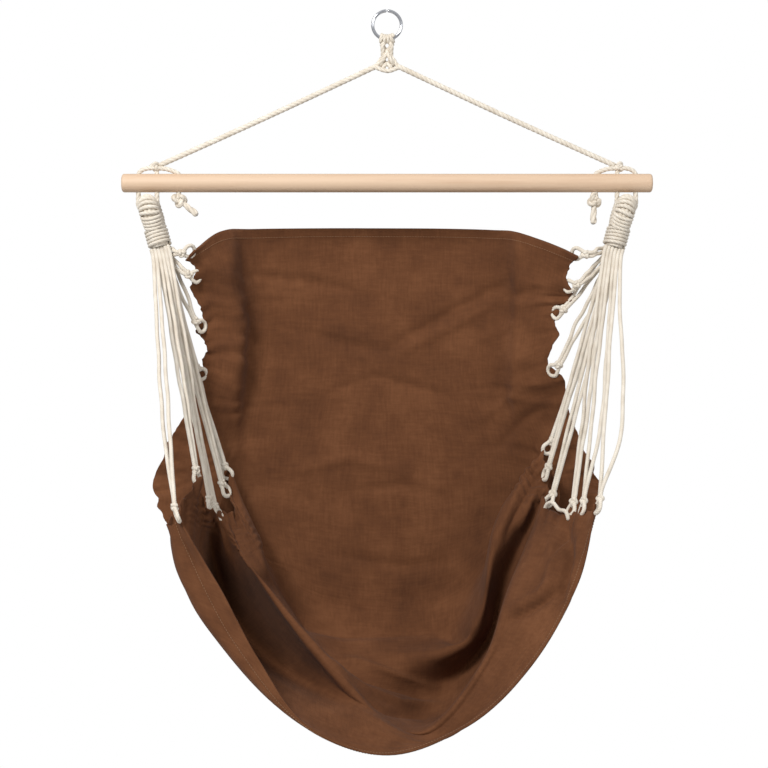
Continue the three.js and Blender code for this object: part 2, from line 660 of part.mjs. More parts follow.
// Where each doubled cord leaves the neck: its row from front to back, and its place in the row from the outside in.
const fanPlaces = [
  { row: 0.5, place: 2, inRow: 3 },
  { row: 0.5, place: 1, inRow: 3 },
  { row: 1.5, place: 1, inRow: 2 },
  { row: 1.5, place: 0, inRow: 2 },
  { row: 0.5, place: 0, inRow: 3 },
  { row: -0.5, place: 1, inRow: 2 },
  { row: -0.5, place: 0, inRow: 2 },
  { row: -1.5, place: 2, inRow: 3 },
  { row: -1.5, place: 1, inRow: 3 },
  { row: -1.5, place: 0, inRow: 3 },
];

// How far each cord runs straight down from the neck, as shares of the longest straight run.
const straightShares = [0.35, 0.6, 0.8, 1, 1, 1, 1, 1, 1, 1];

// How far each cord's outer strand hangs slack, as shares of the slack bow.
const slackShares = {
  left: [0, 0, 0, 0, 0, 0, 0, 0, 0, 0.25],
  right: [0, 0, 0, 0, 0, 0, 0, 0, 0.45, 1],
};

const clothSpace = solidOf(slingSheet(CLOTH_THICKNESS + 2 * SEAT_GAP));

// A doubled cord that stands off from the cloth's edge by no more than it takes to lie clear of the cloth.
function clearCord(side, index) {
  let cord = fanCord(side, index, 0);
  let steps = 0;
  while (cord.intersect(clothSpace).volume() > 0 && steps < LOOP_CLEARING_STEPS) {
    steps += 1;
    cord = fanCord(side, index, steps * LOOP_CLEARING_RISE);
  }
  console.log(`${side.name} cord ${index}: ${steps} clearing steps`);
  return geometryOf(cord);
}

// A doubled cord: from the neck down to the cloth's edge, round a loop there and back up beside itself.
function fanCord(side, index, clearing) {
  const { sign } = side;
  const { row, place, inRow } = fanPlaces[index];
  const down = cordRows[index] / netSpans;
  const across = sign < 0 ? 0 : 1;
  const small = EDGE_SAMPLE_SHARE;
  const edge = slingPoint(across, down);
  const along = slingPoint(across, Math.min(down + small, 1)).sub(slingPoint(across, Math.max(down - small, 0)));
  along.normalize();
  const outward = edge.clone().sub(slingPoint(Math.abs(across - small), down));
  outward.addScaledVector(along, -along.dot(outward)).normalize();

  const downward = neckBottom(sign).sub(eyeTop(sign)).normalize();
  const inRowX = ((inRow - 1) / 2 - place) * 2 * FAN_PITCH;
  const exits = [1, -1].map((outer) => leaned(
    sign,
    sign * (inRowX + (outer * FAN_PITCH) / 2),
    row * FAN_ROW_PITCH,
    -eyeLength - SEAT_GAP,
  ));
  const straight = FAN_STRAIGHT * straightShares[index];
  const middleExit = exits[0].clone().lerp(exits[1], 0.5).addScaledVector(downward, straight);

  const away = middleExit.clone().sub(edge).normalize();
  const loopWay = outward.clone().lerp(away, LOOP_TURN_SHARE).normalize();
  const standOff = CORD_DIAMETER / 2 + SEAT_GAP + clearing;
  const loopCentre = edge.clone().addScaledVector(loopWay, LOOP_RADIUS + standOff);
  const knotWay = loopWay.clone().add(away).normalize();
  const knotCentre = loopCentre.clone().addScaledVector(knotWay, KNOT_RISE);
  const lead = knotCentre.clone().addScaledVector(away, KNOT_LEAD);
  const apart = along.clone().addScaledVector(knotWay, -along.dot(knotWay)).normalize();
  if (exits[0].clone().sub(exits[1]).dot(apart) < 0) apart.negate();
  const loopSide = along.clone().addScaledVector(loopWay, -along.dot(loopWay)).normalize();
  if (apart.dot(loopSide) < 0) loopSide.negate();

  const sideBySide = (CORD_DIAMETER + LEAST_TURN_GAP) / 2;
  const strand = (which) => {
    const turned = which === 0 ? 1 : -1;
    const start = exits[which].clone().addScaledVector(downward, straight);
    const end = lead.clone().addScaledVector(apart, turned * sideBySide);
    const bow = which === 0 ? slackShares[side.name][index] * SLACK_BOW : 0;
    const shares = bow > 0 ? [0.2, 0.4, 0.6, 0.8] : [0.5];
    const between = shares.map((share) => {
      const point = start.clone().lerp(end, share);
      const opened = vec(sign * turned, 0, 0).lerp(apart.clone().multiplyScalar(turned), share).normalize();
      point.addScaledVector(opened, ((FAN_OPENING - CORD_DIAMETER) / 2) * Math.sin(Math.PI * share));
      point.x += sign * bow * Math.sin(Math.PI * share ** 2);
      return point;
    });
    const knotPoint = knotCentre.clone().addScaledVector(apart, turned * sideBySide);
    return [exits[which], start, ...between, end, knotPoint];
  };
  const loop = [];
  for (let i = 0; i <= LOOP_STEPS; i++) {
    const angle = (Math.PI * i) / LOOP_STEPS;
    const point = loopCentre.clone().addScaledVector(loopSide, LOOP_RADIUS * Math.cos(angle));
    loop.push(point.addScaledVector(loopWay, -LOOP_RADIUS * Math.sin(angle)));
  }
  const knot = new THREE.SphereGeometry(1, CORD_SIDES, KNOT_RINGS).rotateX(Math.PI / 2);
  knot.scale(KNOT_DIAMETER / 2, KNOT_DIAMETER / 2, KNOT_LENGTH / 2);
  knot.applyQuaternion(new THREE.Quaternion().setFromUnitVectors(vec(0, 0, 1), knotWay));
  knot.translate(knotCentre.x, knotCentre.y, knotCentre.z);
  const cord = tube([...strand(0), ...loop, ...strand(1).reverse()], CORD_DIAMETER, CORD_SIDES);
  return joined([cord, knot]);
}

addPiece(part, 'hanging_ring', hangingRing(), FINISHES.steel);
addPiece(part, 'ring_lashing', ringLashing(), FINISHES.cotton);
addPiece(part, 'crown_knot', crownKnot(), FINISHES.cotton);
addPiece(part, 'spreader_bar', spreaderBar(), FINISHES.wood);
for (const side of SIDES) {
  addPiece(part, `suspension_rope_${side.name}`, suspensionRope(side.sign), FINISHES.cotton);
  addPiece(part, `hitch_knot_${side.name}`, hitchKnot(side.sign), FINISHES.cotton);
  addPiece(part, `bar_bight_${side.name}`, barBight(side.sign), FINISHES.cotton);
  addPiece(part, `stopper_knot_${side.name}`, stopperKnot(side.sign), FINISHES.cotton);
  addPiece(part, `eye_core_${side.name}`, eyeCore(side.sign), FINISHES.cotton);
  addPiece(part, `eye_winding_${side.name}`, eyeWinding(side.sign), FINISHES.cotton);
  addPiece(part, `whipping_${side.name}`, whipping(side.sign), FINISHES.cotton);
  cordRows.forEach((_, index) => {
    addPiece(part, `${side.name}_cord_0${index}`, clearCord(side, index), FINISHES.cotton);
  });
}
addPiece(part, 'seat_fabric', slingSheet(CLOTH_THICKNESS), FINISHES.canvas);

export default part;
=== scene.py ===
"""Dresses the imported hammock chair: ring, rope work, bar, wound eyes, fans of cords and the cloth sling.

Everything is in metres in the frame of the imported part: +Z up, the sitter faces -Y, and the origin is where
the hook bears.
"""

import logging
import math
from dataclasses import dataclass
from enum import Enum

import bpy
import numpy as np
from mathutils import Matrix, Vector

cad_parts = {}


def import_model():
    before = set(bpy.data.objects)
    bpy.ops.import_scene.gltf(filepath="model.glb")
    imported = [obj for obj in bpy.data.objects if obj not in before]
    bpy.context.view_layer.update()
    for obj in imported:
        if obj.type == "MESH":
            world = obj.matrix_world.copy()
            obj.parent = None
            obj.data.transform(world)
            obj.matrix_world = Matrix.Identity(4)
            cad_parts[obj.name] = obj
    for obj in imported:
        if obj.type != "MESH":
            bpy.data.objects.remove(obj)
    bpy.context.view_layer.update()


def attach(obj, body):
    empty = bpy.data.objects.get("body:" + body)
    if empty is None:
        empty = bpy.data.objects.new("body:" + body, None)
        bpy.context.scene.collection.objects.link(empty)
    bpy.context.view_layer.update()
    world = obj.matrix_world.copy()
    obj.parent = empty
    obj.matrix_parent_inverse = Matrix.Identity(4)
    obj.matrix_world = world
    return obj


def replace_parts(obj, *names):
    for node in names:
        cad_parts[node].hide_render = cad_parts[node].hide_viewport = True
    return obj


LOG = logging.getLogger("hammock_chair")
Array = np.ndarray
Tree, Node, Socket = bpy.types.NodeTree, bpy.types.Node, bpy.types.NodeSocket
MM = 0.001
TURN = 2 * math.pi

# The distance between a line's points, on knots and on wider bends.
KNOT_STEP = 1.2 * MM
BEND_STEP = 1.5 * MM

# The stretch at each end of a rope that is rounded off, as a share of its diameter.
ROUNDED_END = 0.35

# The camera stands level and looks along +Y. At the bar one pixel of the photograph is PIXEL_MM wide.
CAMERA = (-0.0057, -3.5, -0.701)
CAMERA_DISTANCE = 3.5
PIXEL_MM = 1.887
FRAME_MIDDLE = 384


# Helpers on curves

def pixel_width(depth: Array) -> Array:
    """Metres to a pixel of the photograph at a depth: that at the bar times the share of the distance."""
    return PIXEL_MM * MM * (CAMERA_DISTANCE + depth) / CAMERA_DISTANCE


def unit(vectors: Array) -> Array:
    """Vectors divided by their lengths along the last axis."""
    return vectors / np.maximum(np.linalg.norm(vectors, axis=-1, keepdims=True), 1e-12)


def vec(x: float, y: float, z: float) -> Array:
    """One point or direction."""
    return np.array([x, y, z], float)


def catmull_weights(count: int, places: Array) -> Array:
    """Weights of a uniform Catmull-Rom curve through evenly numbered points.

    The curve between points 1 and 2 at share t is half of 2 p1 + (p2 - p0) t + (2 p0 - 5 p1 + 4 p2 - p3) t^2
    + (3 p1 - p0 - 3 p2 + p3) t^3. Beyond each end stands the mirror image of the second point in the first.

    Args:
        count: how many points the curve passes through.
        places: where on the curve, from 0 to 1.

    Returns:
        A matrix with a row for each place and a column for each point.
    """
    at = np.clip(places, 0, 1) * (count - 1)
    span = np.minimum(at.astype(int), count - 2)
    t = at - span
    basis = 0.5 * np.stack([
        -t + 2 * t**2 - t**3,
        2 - 5 * t**2 + 3 * t**3,
        t + 4 * t**2 - 3 * t**3,
        -(t**2) + t**3,
    ], axis=1)
    padded = np.zeros((len(t), count + 2))
    rows = np.arange(len(t))
    for k in range(4):
        padded[rows, span + k] += basis[:, k]
    weights = padded[:, 1:-1].copy()
    weights[:, 0] += 2 * padded[:, 0]
    weights[:, 1] -= padded[:, 0]
    weights[:, -1] += 2 * padded[:, -1]
    weights[:, -2] -= padded[:, -1]
    return weights


def smooth_line(points: Array, step: float) -> Array:
    """A centripetal curve through points, cut into even steps of about the given length.

    Args:
        points: the points that the curve passes through.
        step: the wanted distance between the points returned.

    Returns:
        Points along the curve at even lengths.
    """
    knots = np.vstack([2 * points[0] - points[1], points, 2 * points[-1] - points[-2]])
    gaps = np.sqrt(np.maximum(np.linalg.norm(np.diff(knots, axis=0), axis=1), 1e-9))
    times = np.concatenate([[0], np.cumsum(gaps)])
    dense = np.linspace(times[1], times[-2], 24 * len(points))
    span = np.clip(np.searchsorted(times, dense, side="right") - 1, 1, len(points) - 1)
    t = dense[:, None]
    p = [knots[span + k] for k in (-1, 0, 1, 2)]
    s = [times[span + k][:, None] for k in (-1, 0, 1, 2)]
    a = [((s[k + 1] - t) * p[k] + (t - s[k]) * p[k + 1]) / (s[k + 1] - s[k]) for k in range(3)]
    b = [((s[k + 2] - t) * a[k] + (t - s[k]) * a[k + 1]) / (s[k + 2] - s[k]) for k in range(2)]
    curve = ((s[2] - t) * b[0] + (t - s[1]) * b[1]) / (s[2] - s[1])
    return even_line(curve, step)


def even_line(curve: Array, step: float) -> Array:
    """A line cut again into even steps of about the given length."""
    lengths = line_lengths(curve)
    marks = np.linspace(0, lengths[-1], max(int(lengths[-1] / step), 3) + 1)
    return read_off(curve, lengths, marks)


def read_off(line: Array, lengths: Array, marks: Array) -> Array:
    """The places at given marks on a line whose points stand at the given lengths."""
    return np.stack([np.interp(marks, lengths, line[:, k]) for k in range(3)], axis=1)


def line_lengths(line: Array) -> Array:
    """The length along a line up to each of its points."""
    return np.concatenate([[0], np.cumsum(np.linalg.norm(np.diff(line, axis=0), axis=1))])


def tangents_of(line: Array) -> Array:
    """Unit directions along a line."""
    return unit(np.gradient(line, axis=0))


def carried_normals(line: Array) -> Array:
    """Normals carried along a line with the least turning, one step at a time along the line."""
    tangents = tangents_of(line)
    normal = vec(1, 0, 0) if abs(tangents[0][0]) < 0.7 else vec(0, 1, 0)
    normals = np.empty_like(line)
    for k, tangent in enumerate(tangents):
        normal = normal - tangent * (normal @ tangent)
        normal /= np.linalg.norm(normal)
        normals[k] = normal
    return normals


def grid_normals(points: Array) -> Array:
    """Unit normals of a grid of points."""
    return unit(np.cross(np.gradient(points, axis=1), np.gradient(points, axis=0)))


def grid_lengths(points: Array, axis: int) -> Array:
    """The lengths along a grid's lines up to each of its points, down (axis 0) or across (axis 1)."""
    first = np.take(points, [0], axis=axis)
    return np.cumsum(np.linalg.norm(np.diff(points, axis=axis, prepend=first), axis=2), axis=axis)


def faded(value: Array, first: float, last: float, soft: float) -> Array:
    """One between two values and none outside them, with soft ends of the given width."""
    return np.clip((value - first) / soft, 0, 1) * np.clip((last - value) / soft, 0, 1)


def soft_noise(shape: tuple[int, int], cells: tuple[int, int], seed: int) -> Array:
    """Smooth noise on a grid: a coarse lattice of random heights joined by Catmull-Rom curves both ways."""
    lattice = np.random.default_rng(seed).uniform(-1, 1, (cells[0] + 1, cells[1] + 1))
    rows = catmull_weights(cells[0] + 1, np.linspace(0, 1, shape[0]))
    columns = catmull_weights(cells[1] + 1, np.linspace(0, 1, shape[1]))
    return rows @ lattice @ columns.T


# Helpers that make meshes

class Ends(Enum):
    """How the first and last rows of a surface are closed."""

    POLE = "pole"
    FOLD = "fold"


@dataclass
class Surface:
    """A surface of two parameters as a grid of points, closed round its rows."""

    points: Array
    uv: Array
    ends: Ends = Ends.POLE
    crevice: Array | None = None


def surface_parts(surface: Surface, first: int) -> tuple[Array, Array, list, list]:
    """The vertices, crevice values, faces and face-corner uv of one surface.

    A quad joins each grid cell. A pole closes an end row by a fan to its middle. A fold joins an end row's
    two halves, which lie back to back.

    Args:
        surface: the grid and how it closes.
        first: the number of its first vertex in the mesh.

    Returns:
        The vertices, their crevice values, blocks of faces and blocks of corner uv.
    """
    rows, columns = surface.points.shape[:2]
    vertices = surface.points.reshape(-1, 3)
    crevice = np.zeros(len(vertices)) if surface.crevice is None else surface.crevice.reshape(-1)
    i, j = np.meshgrid(np.arange(rows - 1), np.arange(columns), indexing="ij")
    i, j = i.ravel(), j.ravel()
    after = (j + 1) % columns
    quads = np.stack([i * columns + j, i * columns + after, (i + 1) * columns + after, (i + 1) * columns + j],
                     axis=1)
    uv = surface.uv
    # one more column, for the corners where a row closes
    uv = np.concatenate([uv, uv[:, -1:] + (uv[:, 1:2] - uv[:, :1])], axis=1)
    corners = np.stack([uv[i, j], uv[i, j + 1], uv[i + 1, j + 1], uv[i + 1, j]], axis=1)
    faces, face_uv = [quads + first], [corners]
    if surface.ends is Ends.POLE:
        centres = np.stack([surface.points[0].mean(0), surface.points[-1].mean(0)])
        base = len(vertices)
        vertices = np.vstack([vertices, centres])
        crevice = np.concatenate([crevice, [0, 0]])
        k = np.arange(columns)
        n = (k + 1) % columns
        low = np.stack([n, k, np.full(columns, base)], axis=1)
        last = (rows - 1) * columns
        high = np.stack([last + k, last + n, np.full(columns, base + 1)], axis=1)
        faces += [low + first, high + first]
        face_uv += [np.zeros((columns, 3, 2)) + uv[0, 0], np.zeros((columns, 3, 2)) + uv[-1, 0]]
    if surface.ends is Ends.FOLD:
        k = np.arange(columns // 2 - 1)
        for row, turn in ((0, False), (rows - 1, True)):
            start = row * columns
            fold = np.stack([k, columns - 1 - k, columns - 2 - k, k + 1], axis=1) + start
            fold_uv = np.stack([uv[row, k], uv[row, k], uv[row, k + 1], uv[row, k + 1]], axis=1)
            faces.append((fold[:, ::-1] if turn else fold) + first)
            face_uv.append(fold_uv[:, ::-1] if turn else fold_uv)
    return vertices, crevice, faces, face_uv


def new_object(name: str, data: bpy.types.ID) -> bpy.types.Object:
    """An object in the scene with the given data."""
    made = bpy.data.objects.new(name, data)
    bpy.context.scene.collection.objects.link(made)
    return made


def mesh_piece(name: str, surfaces: list[Surface], finish: "Finish", body: str) -> bpy.types.Object:
    """One object made of closed surfaces, dressed and riding on a body.

    Args:
        name: the piece's name.
        surfaces: the grids that it is made of.
        finish: what it is made of.
        body: the body that it rides on.

    Returns:
        The new object, at the origin, unturned and unscaled.
    """
    vertices, crevice, faces, corner_uv, first = [], [], [], [], 0
    for surface in surfaces:
        v, c, f, u = surface_parts(surface, first)
        vertices.append(v)
        crevice.append(c)
        faces += f
        corner_uv += u
        first += len(v)
    mesh = bpy.data.meshes.new(name)
    points = np.vstack(vertices)
    sizes = np.concatenate([np.full(len(f), f.shape[1]) for f in faces])
    loops = np.concatenate([f.ravel() for f in faces]).astype(np.int32)
    mesh.vertices.add(len(points))
    mesh.vertices.foreach_set("co", points.astype(np.float32).ravel())
    mesh.loops.add(len(loops))
    mesh.loops.foreach_set("vertex_index", loops)
    mesh.polygons.add(len(sizes))
    starts = np.concatenate([[0], np.cumsum(sizes)[:-1]]).astype(np.int32)
    mesh.polygons.foreach_set("loop_start", starts)
    mesh.update(calc_edges=True)
    layer = mesh.uv_layers.new(name="UVMap")
    all_uv = np.concatenate([u.reshape(-1, 2) for u in corner_uv])
    layer.data.foreach_set("uv", all_uv.astype(np.float32).ravel())
    # the crevice value: how deep in a groove between strands each vertex lies; the cotton paints shade by it
    groove_shade_depth = mesh.attributes.new("crevice", "FLOAT", "POINT")
    groove_shade_depth.data.foreach_set("value", np.concatenate(crevice).astype(np.float32))
    mesh.polygons.foreach_set("use_smooth", np.ones(len(sizes), bool))
    mesh.validate()
    mesh.materials.append(finish.material())
    obj = new_object(name, mesh)
    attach(obj, body)
    LOG.info("%s: %d faces", name, len(sizes))
    return obj


@dataclass(frozen=True)
class Lay:
    """How a rope is laid: its strands, its grooves' depth as a share of the radius, one turn's length."""

    strands: int = 3
    groove: float = 0.3
    turn: float = 0.03
    sides: int = 24


def rope(line: Array, diameter: float, lay: Lay, normals: Array | None = None, swell: Array | None = None,
         phase: float = 0.0) -> Surface:
    """A laid rope carried along a line.

    At length s and angle a round the line the radius is R (1 - g (1 - |cos(n (a - 2 pi s / turn) / 2)|)), for
    n strands and grooves g deep. Over a short stretch at each end it shrinks as a quarter circle does.

    Args:
        line: the centre line, in even steps.
        diameter: the rope's diameter over its strands.
        lay: how it is laid.
        normals: directions square to the line from which the angle is counted.
        swell: factors on the radius along the line.
        phase: how far the lay is turned at the start.

    Returns:
        A closed surface.
    """
    tangents = tangents_of(line)
    normal = carried_normals(line) if normals is None else unit(normals)
    binormal = np.cross(tangents, normal)
    s = line_lengths(line)
    angle = np.linspace(0, TURN, lay.sides, endpoint=False)
    twist = TURN * s[:, None] / lay.turn + phase
    lobe = np.abs(np.cos(lay.strands * (angle[None] - twist) / 2))
    radius = diameter / 2 * (1 - lay.groove * (1 - lobe))
    if swell is not None:
        radius = radius * swell[:, None]
    cap = np.minimum(np.minimum(s, s[-1] - s) / (diameter * ROUNDED_END), 1)
    radius = radius * np.sqrt(np.maximum(1 - (1 - cap) ** 2, 0.05))[:, None]
    points = line[:, None] + radius[..., None] * (
        np.cos(angle)[None, :, None] * normal[:, None] + np.sin(angle)[None, :, None] * binormal[:, None])
    u = (angle[None] - twist) / TURN * lay.strands
    uv = np.stack([u, np.broadcast_to(s[:, None], u.shape) / diameter], axis=2)
    # crevice is 1 at the bottom of a groove and 0 on a strand's crest; it sets the painted shade in the
    # grooves
    return Surface(points, uv, crevice=1 - lobe)


# Finishes

def new_material(name: str) -> tuple[bpy.types.Material, Tree, Node]:
    """A new material with its node tree and its Principled shader."""
    made = bpy.data.materials.new(name)
    made.use_nodes = True
    return made, made.node_tree, made.node_tree.nodes["Principled BSDF"]


def add_node(tree: Tree, kind: str, links: dict | None = None, **values: object) -> Node:
    """A node with its properties, input values and incoming links set.

    Args:
        tree: the material's nodes.
        kind: the node's type.
        links: input name or number to the output socket that feeds it.
        values: property names, or input names with spaces as underscores, and what they are set to.

    Returns:
        The new node.
    """
    node = tree.nodes.new(kind)
    for key, value in values.items():
        if hasattr(node, key):
            setattr(node, key, value)
        else:
            node.inputs[key.replace("_", " ")].default_value = value
    for key, socket in (links or {}).items():
        tree.links.new(socket, node.inputs[key])
    return node


def ramp(tree: Tree, source: Socket, stops: list[tuple[float, tuple]]) -> Node:
    """A colour ramp with the given stops."""
    node = add_node(tree, "ShaderNodeValToRGB", {"Fac": source})
    elements = node.color_ramp.elements
    while len(elements) < len(stops):
        elements.new(0.5)
    for element, (place, colour) in zip(elements, stops):
        element.position = place
        element.color = (*colour, 1)
    return node


def noise(tree: Tree, vector: Socket, **values: object) -> Socket:
    """The value of a noise texture."""
    return add_node(tree, "ShaderNodeTexNoise", {"Vector": vector}, **values).outputs["Fac"]


def stretched(tree: Tree, vector: Socket, *scale: float) -> Socket:
    """A vector with its axes scaled."""
    return add_node(tree, "ShaderNodeMapping", {"Vector": vector}, Scale=scale).outputs[0]


def own_uv(tree: Tree) -> Socket:
    """The piece's own uv."""
    return add_node(tree, "ShaderNodeUVMap", uv_map="UVMap").outputs[0]


def own_place(tree: Tree) -> Socket:
    """The place in the piece's own frame."""
    return add_node(tree, "ShaderNodeTexCoord").outputs["Object"]


def ranged(tree: Tree, value: Socket, **values: float) -> Socket:
    """A value mapped from one range to another."""
    return add_node(tree, "ShaderNodeMapRange", {"Value": value}, **values).outputs[0]


def mean_of(tree: Tree, first: Socket, second: Socket) -> Socket:
    """Half the sum of two values."""
    both = add_node(tree, "ShaderNodeMath", {0: first, 1: second}, operation="ADD")
    half = add_node(tree, "ShaderNodeMath", {0: both.outputs[0]}, operation="MULTIPLY")
    half.inputs[1].default_value = 0.5
    return half.outputs[0]


def blend_of(tree: Tree, first: Socket, second: Socket, share: float) -> Socket:
    """Two values blended by a fixed share of the second."""
    mix = add_node(tree, "ShaderNodeMix", {"A": first, "B": second}, data_type="FLOAT")
    mix.inputs["Factor"].default_value = share
    return mix.outputs["Result"]


def tinted(tree: Tree, colour: Socket, tint: tuple, share: Socket) -> Socket:
    """A colour turned to a tint by a share."""
    mix = add_node(tree, "ShaderNodeMix", {"Factor": share, "A": colour}, data_type="RGBA")
    mix.inputs["B"].default_value = (*tint, 1)
    return mix.outputs["Result"]


def bumped(tree: Tree, shader: Node, height: Socket, strength: float, distance: float) -> None:
    """Gives a shader a bump."""
    bump = add_node(tree, "ShaderNodeBump", {"Height": height}, Strength=strength, Distance=distance)
    tree.links.new(bump.outputs[0], shader.inputs["Normal"])


def set_inputs(shader: Node, **values: object) -> None:
    """Sets a shader's inputs, named with spaces as underscores."""
    for key, value in values.items():
        shader.inputs[key.replace("_", " ")].default_value = value


class Finish:
    """What a piece is made of. Each finish makes its material once."""

    def material(self) -> bpy.types.Material:
        """The finish's material, made on first use."""
        name = type(self).__name__
        return bpy.data.materials.get(name) or self.make(name)

    def make(self, name: str) -> bpy.types.Material:
        """Makes the material."""
        raise NotImplementedError


@dataclass(frozen=True)
class CottonRope(Finish):
    """Undyed cotton: cream, fuzzy, with fine fibres along each strand, and painted shade that darkens the
    grooves between strands.
    """

    light: tuple = (0.80, 0.735, 0.635)
    dark: tuple = (0.60, 0.520, 0.415)
    # groove is the colour of the painted shade that darkens the grooves between strands
    groove: tuple = (0.40, 0.34, 0.255)

    def make(self, name: str) -> bpy.types.Material:
        """Streaks along the strands from stretched noise on the uv, and painted shade in the grooves from the
        crevice value.
        """
        made, tree, shader = new_material(name)
        fibre = noise(tree, stretched(tree, own_uv(tree), 9, 1.2, 1), Scale=2.2, Detail=5.0, Roughness=0.65)
        patch = noise(tree, own_place(tree), Scale=55.0, Detail=2.0)
        body = ramp(tree, mean_of(tree, fibre, patch), [(0.3, self.dark), (0.62, self.light)])
        # the crevice value, the depth in a groove, sets how far the painted groove shade darkens the colour
        groove_shade_depth = add_node(tree, "ShaderNodeAttribute", attribute_name="crevice")
        deep = ranged(tree, groove_shade_depth.outputs["Fac"], From_Min=0.35, From_Max=1.0, To_Max=0.55)
        tree.links.new(tinted(tree, body.outputs[0], self.groove, deep), shader.inputs["Base Color"])
        bumped(tree, shader, fibre, 0.35, 0.0006)
        set_inputs(shader, Roughness=0.92, Sheen_Weight=0.15)
        return made


@dataclass(frozen=True)
class BrownCanvas(Finish):
    """Washed brown cotton: mottled, with slubs along the weft, a fine plain weave and a soft sheen."""

    deep: tuple = (0.078, 0.0272, 0.0095)
    middle: tuple = (0.118, 0.0430, 0.0155)
    pale: tuple = (0.168, 0.0650, 0.0255)

    def make(self, name: str) -> bpy.types.Material:
        """Blotches on Object coordinates, slubs and thread waves on the cloth's own uv in metres.

        The relief is the weave times the slub, plus the slub.
        """
        made, tree, shader = new_material(name)
        uv = own_uv(tree)
        blotch = noise(tree, own_place(tree), Scale=9.0, Detail=6.0, Roughness=0.62)
        slub = noise(tree, stretched(tree, uv, 26, 170, 1), Scale=1.0, Detail=4.0, Roughness=0.6)
        thread = noise(tree, stretched(tree, uv, 230, 30, 1), Scale=1.0, Detail=3.0)
        tone = blend_of(tree, blotch, mean_of(tree, slub, thread), 0.36)
        body = ramp(tree, tone, [(0.34, self.deep), (0.5, self.middle), (0.66, self.pale)])
        across, down = (add_node(tree, "ShaderNodeTexWave", {"Vector": uv}, bands_direction=way, Scale=160.0,
                                 Distortion=0.6).outputs["Fac"] for way in "XY")
        weave = add_node(tree, "ShaderNodeMath", {0: across, 1: down}, operation="ADD")
        relief = add_node(tree, "ShaderNodeMath", {0: weave.outputs[0], 1: slub, 2: slub},
                          operation="MULTIPLY_ADD")
        tree.links.new(body.outputs[0], shader.inputs["Base Color"])
        bumped(tree, shader, relief.outputs[0], 0.35, 0.0008)
        set_inputs(shader, Roughness=0.88, Specular_IOR_Level=0.22, Sheen_Weight=0.03)
        return made


@dataclass(frozen=True)
class PlainWood(Finish):
    """Pale sanded softwood: pinkish tan with long fine grain along the bar and a few faint knots."""

    pale: tuple = (0.64, 0.46, 0.315)
    middle: tuple = (0.56, 0.375, 0.245)
    dark: tuple = (0.58, 0.38, 0.23)

    def make(self, name: str) -> bpy.types.Material:
        """Noise stretched along X gives the grain, and rings round sparse points give the knots."""
        made, tree, shader = new_material(name)
        place = own_place(tree)
        grain = noise(tree, stretched(tree, place, 3.0, 90, 90), Scale=1.6, Detail=6.0, Roughness=0.6,
                      Distortion=0.4)
        wave = noise(tree, stretched(tree, place, 2.2, 16, 16), Scale=1.5, Detail=3.0)
        cells = stretched(tree, place, 9, 26, 26)
        knot = add_node(tree, "ShaderNodeTexVoronoi", {"Vector": cells}, Scale=1.0)
        spot = ranged(tree, knot.outputs["Distance"], From_Min=0.02, From_Max=0.16, To_Min=0.5, To_Max=0.0)
        body = ramp(tree, blend_of(tree, grain, wave, 0.45), [(0.33, self.middle), (0.52, self.pale)])
        tree.links.new(tinted(tree, body.outputs[0], self.dark, spot), shader.inputs["Base Color"])
        bumped(tree, shader, grain, 0.12, 0.0004)
        set_inputs(shader, Roughness=0.55)
        return made


@dataclass(frozen=True)
class PlatedSteel(Finish):
    """Bright plated wire with slightly uneven polish."""

    colour: tuple = (0.62, 0.63, 0.66)

    def make(self, name: str) -> bpy.types.Material:
        """A metal whose roughness varies a little on Object coordinates."""
        made, tree, shader = new_material(name)
        smear = noise(tree, own_place(tree), Scale=140.0, Detail=4.0)
        tree.links.new(ranged(tree, smear, To_Min=0.08, To_Max=0.24), shader.inputs["Roughness"])
        set_inputs(shader, Base_Color=(*self.colour, 1), Metallic=1.0)
        return made


@dataclass(frozen=True)
class SealedEnd(Finish):
    """The greyish cut end of a rope, stiff with wax."""

    colour: tuple = (0.30, 0.28, 0.26)
    pale: tuple = (0.52, 0.49, 0.45)

    def make(self, name: str) -> bpy.types.Material:
        """Grey with cut fibres as fine noise."""
        made, tree, shader = new_material(name)
        fibre = noise(tree, own_place(tree), Scale=900.0, Detail=3.0)
        body = ramp(tree, fibre, [(0.3, self.colour), (0.7, self.pale)])
        tree.links.new(body.outputs[0], shader.inputs["Base Color"])
        set_inputs(shader, Roughness=0.8)
        return made


@dataclass(frozen=True)
class OneColour(Finish):
    """A dull colour without a pattern."""

    colour: tuple
    roughness: float

    def make(self, name: str) -> bpy.types.Material:
        """The colour and the roughness, and nothing else."""
        made, _, shader = new_material(name)
        set_inputs(shader, Base_Color=(*self.colour, 1), Roughness=self.roughness)
        return made


@dataclass(frozen=True)
class BrownThread(OneColour):
    """Sewing thread a little lighter than the cloth."""

    colour: tuple = (0.23, 0.115, 0.055)
    roughness: float = 0.8


@dataclass(frozen=True)
class PaleFloor(OneColour):
    """A plain pale studio floor."""

    colour: tuple = (0.72, 0.72, 0.71)
    roughness: float = 0.95


COTTON = CottonRope()


def rope_piece(name: str, ropes: list[Surface], body: str, node: str | None = None) -> bpy.types.Object:
    """A piece of cotton rope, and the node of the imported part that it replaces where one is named."""
    piece = mesh_piece(name, ropes, COTTON, body)
    if node:
        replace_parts(piece, node)
    return piece


# The chair's measures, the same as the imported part's

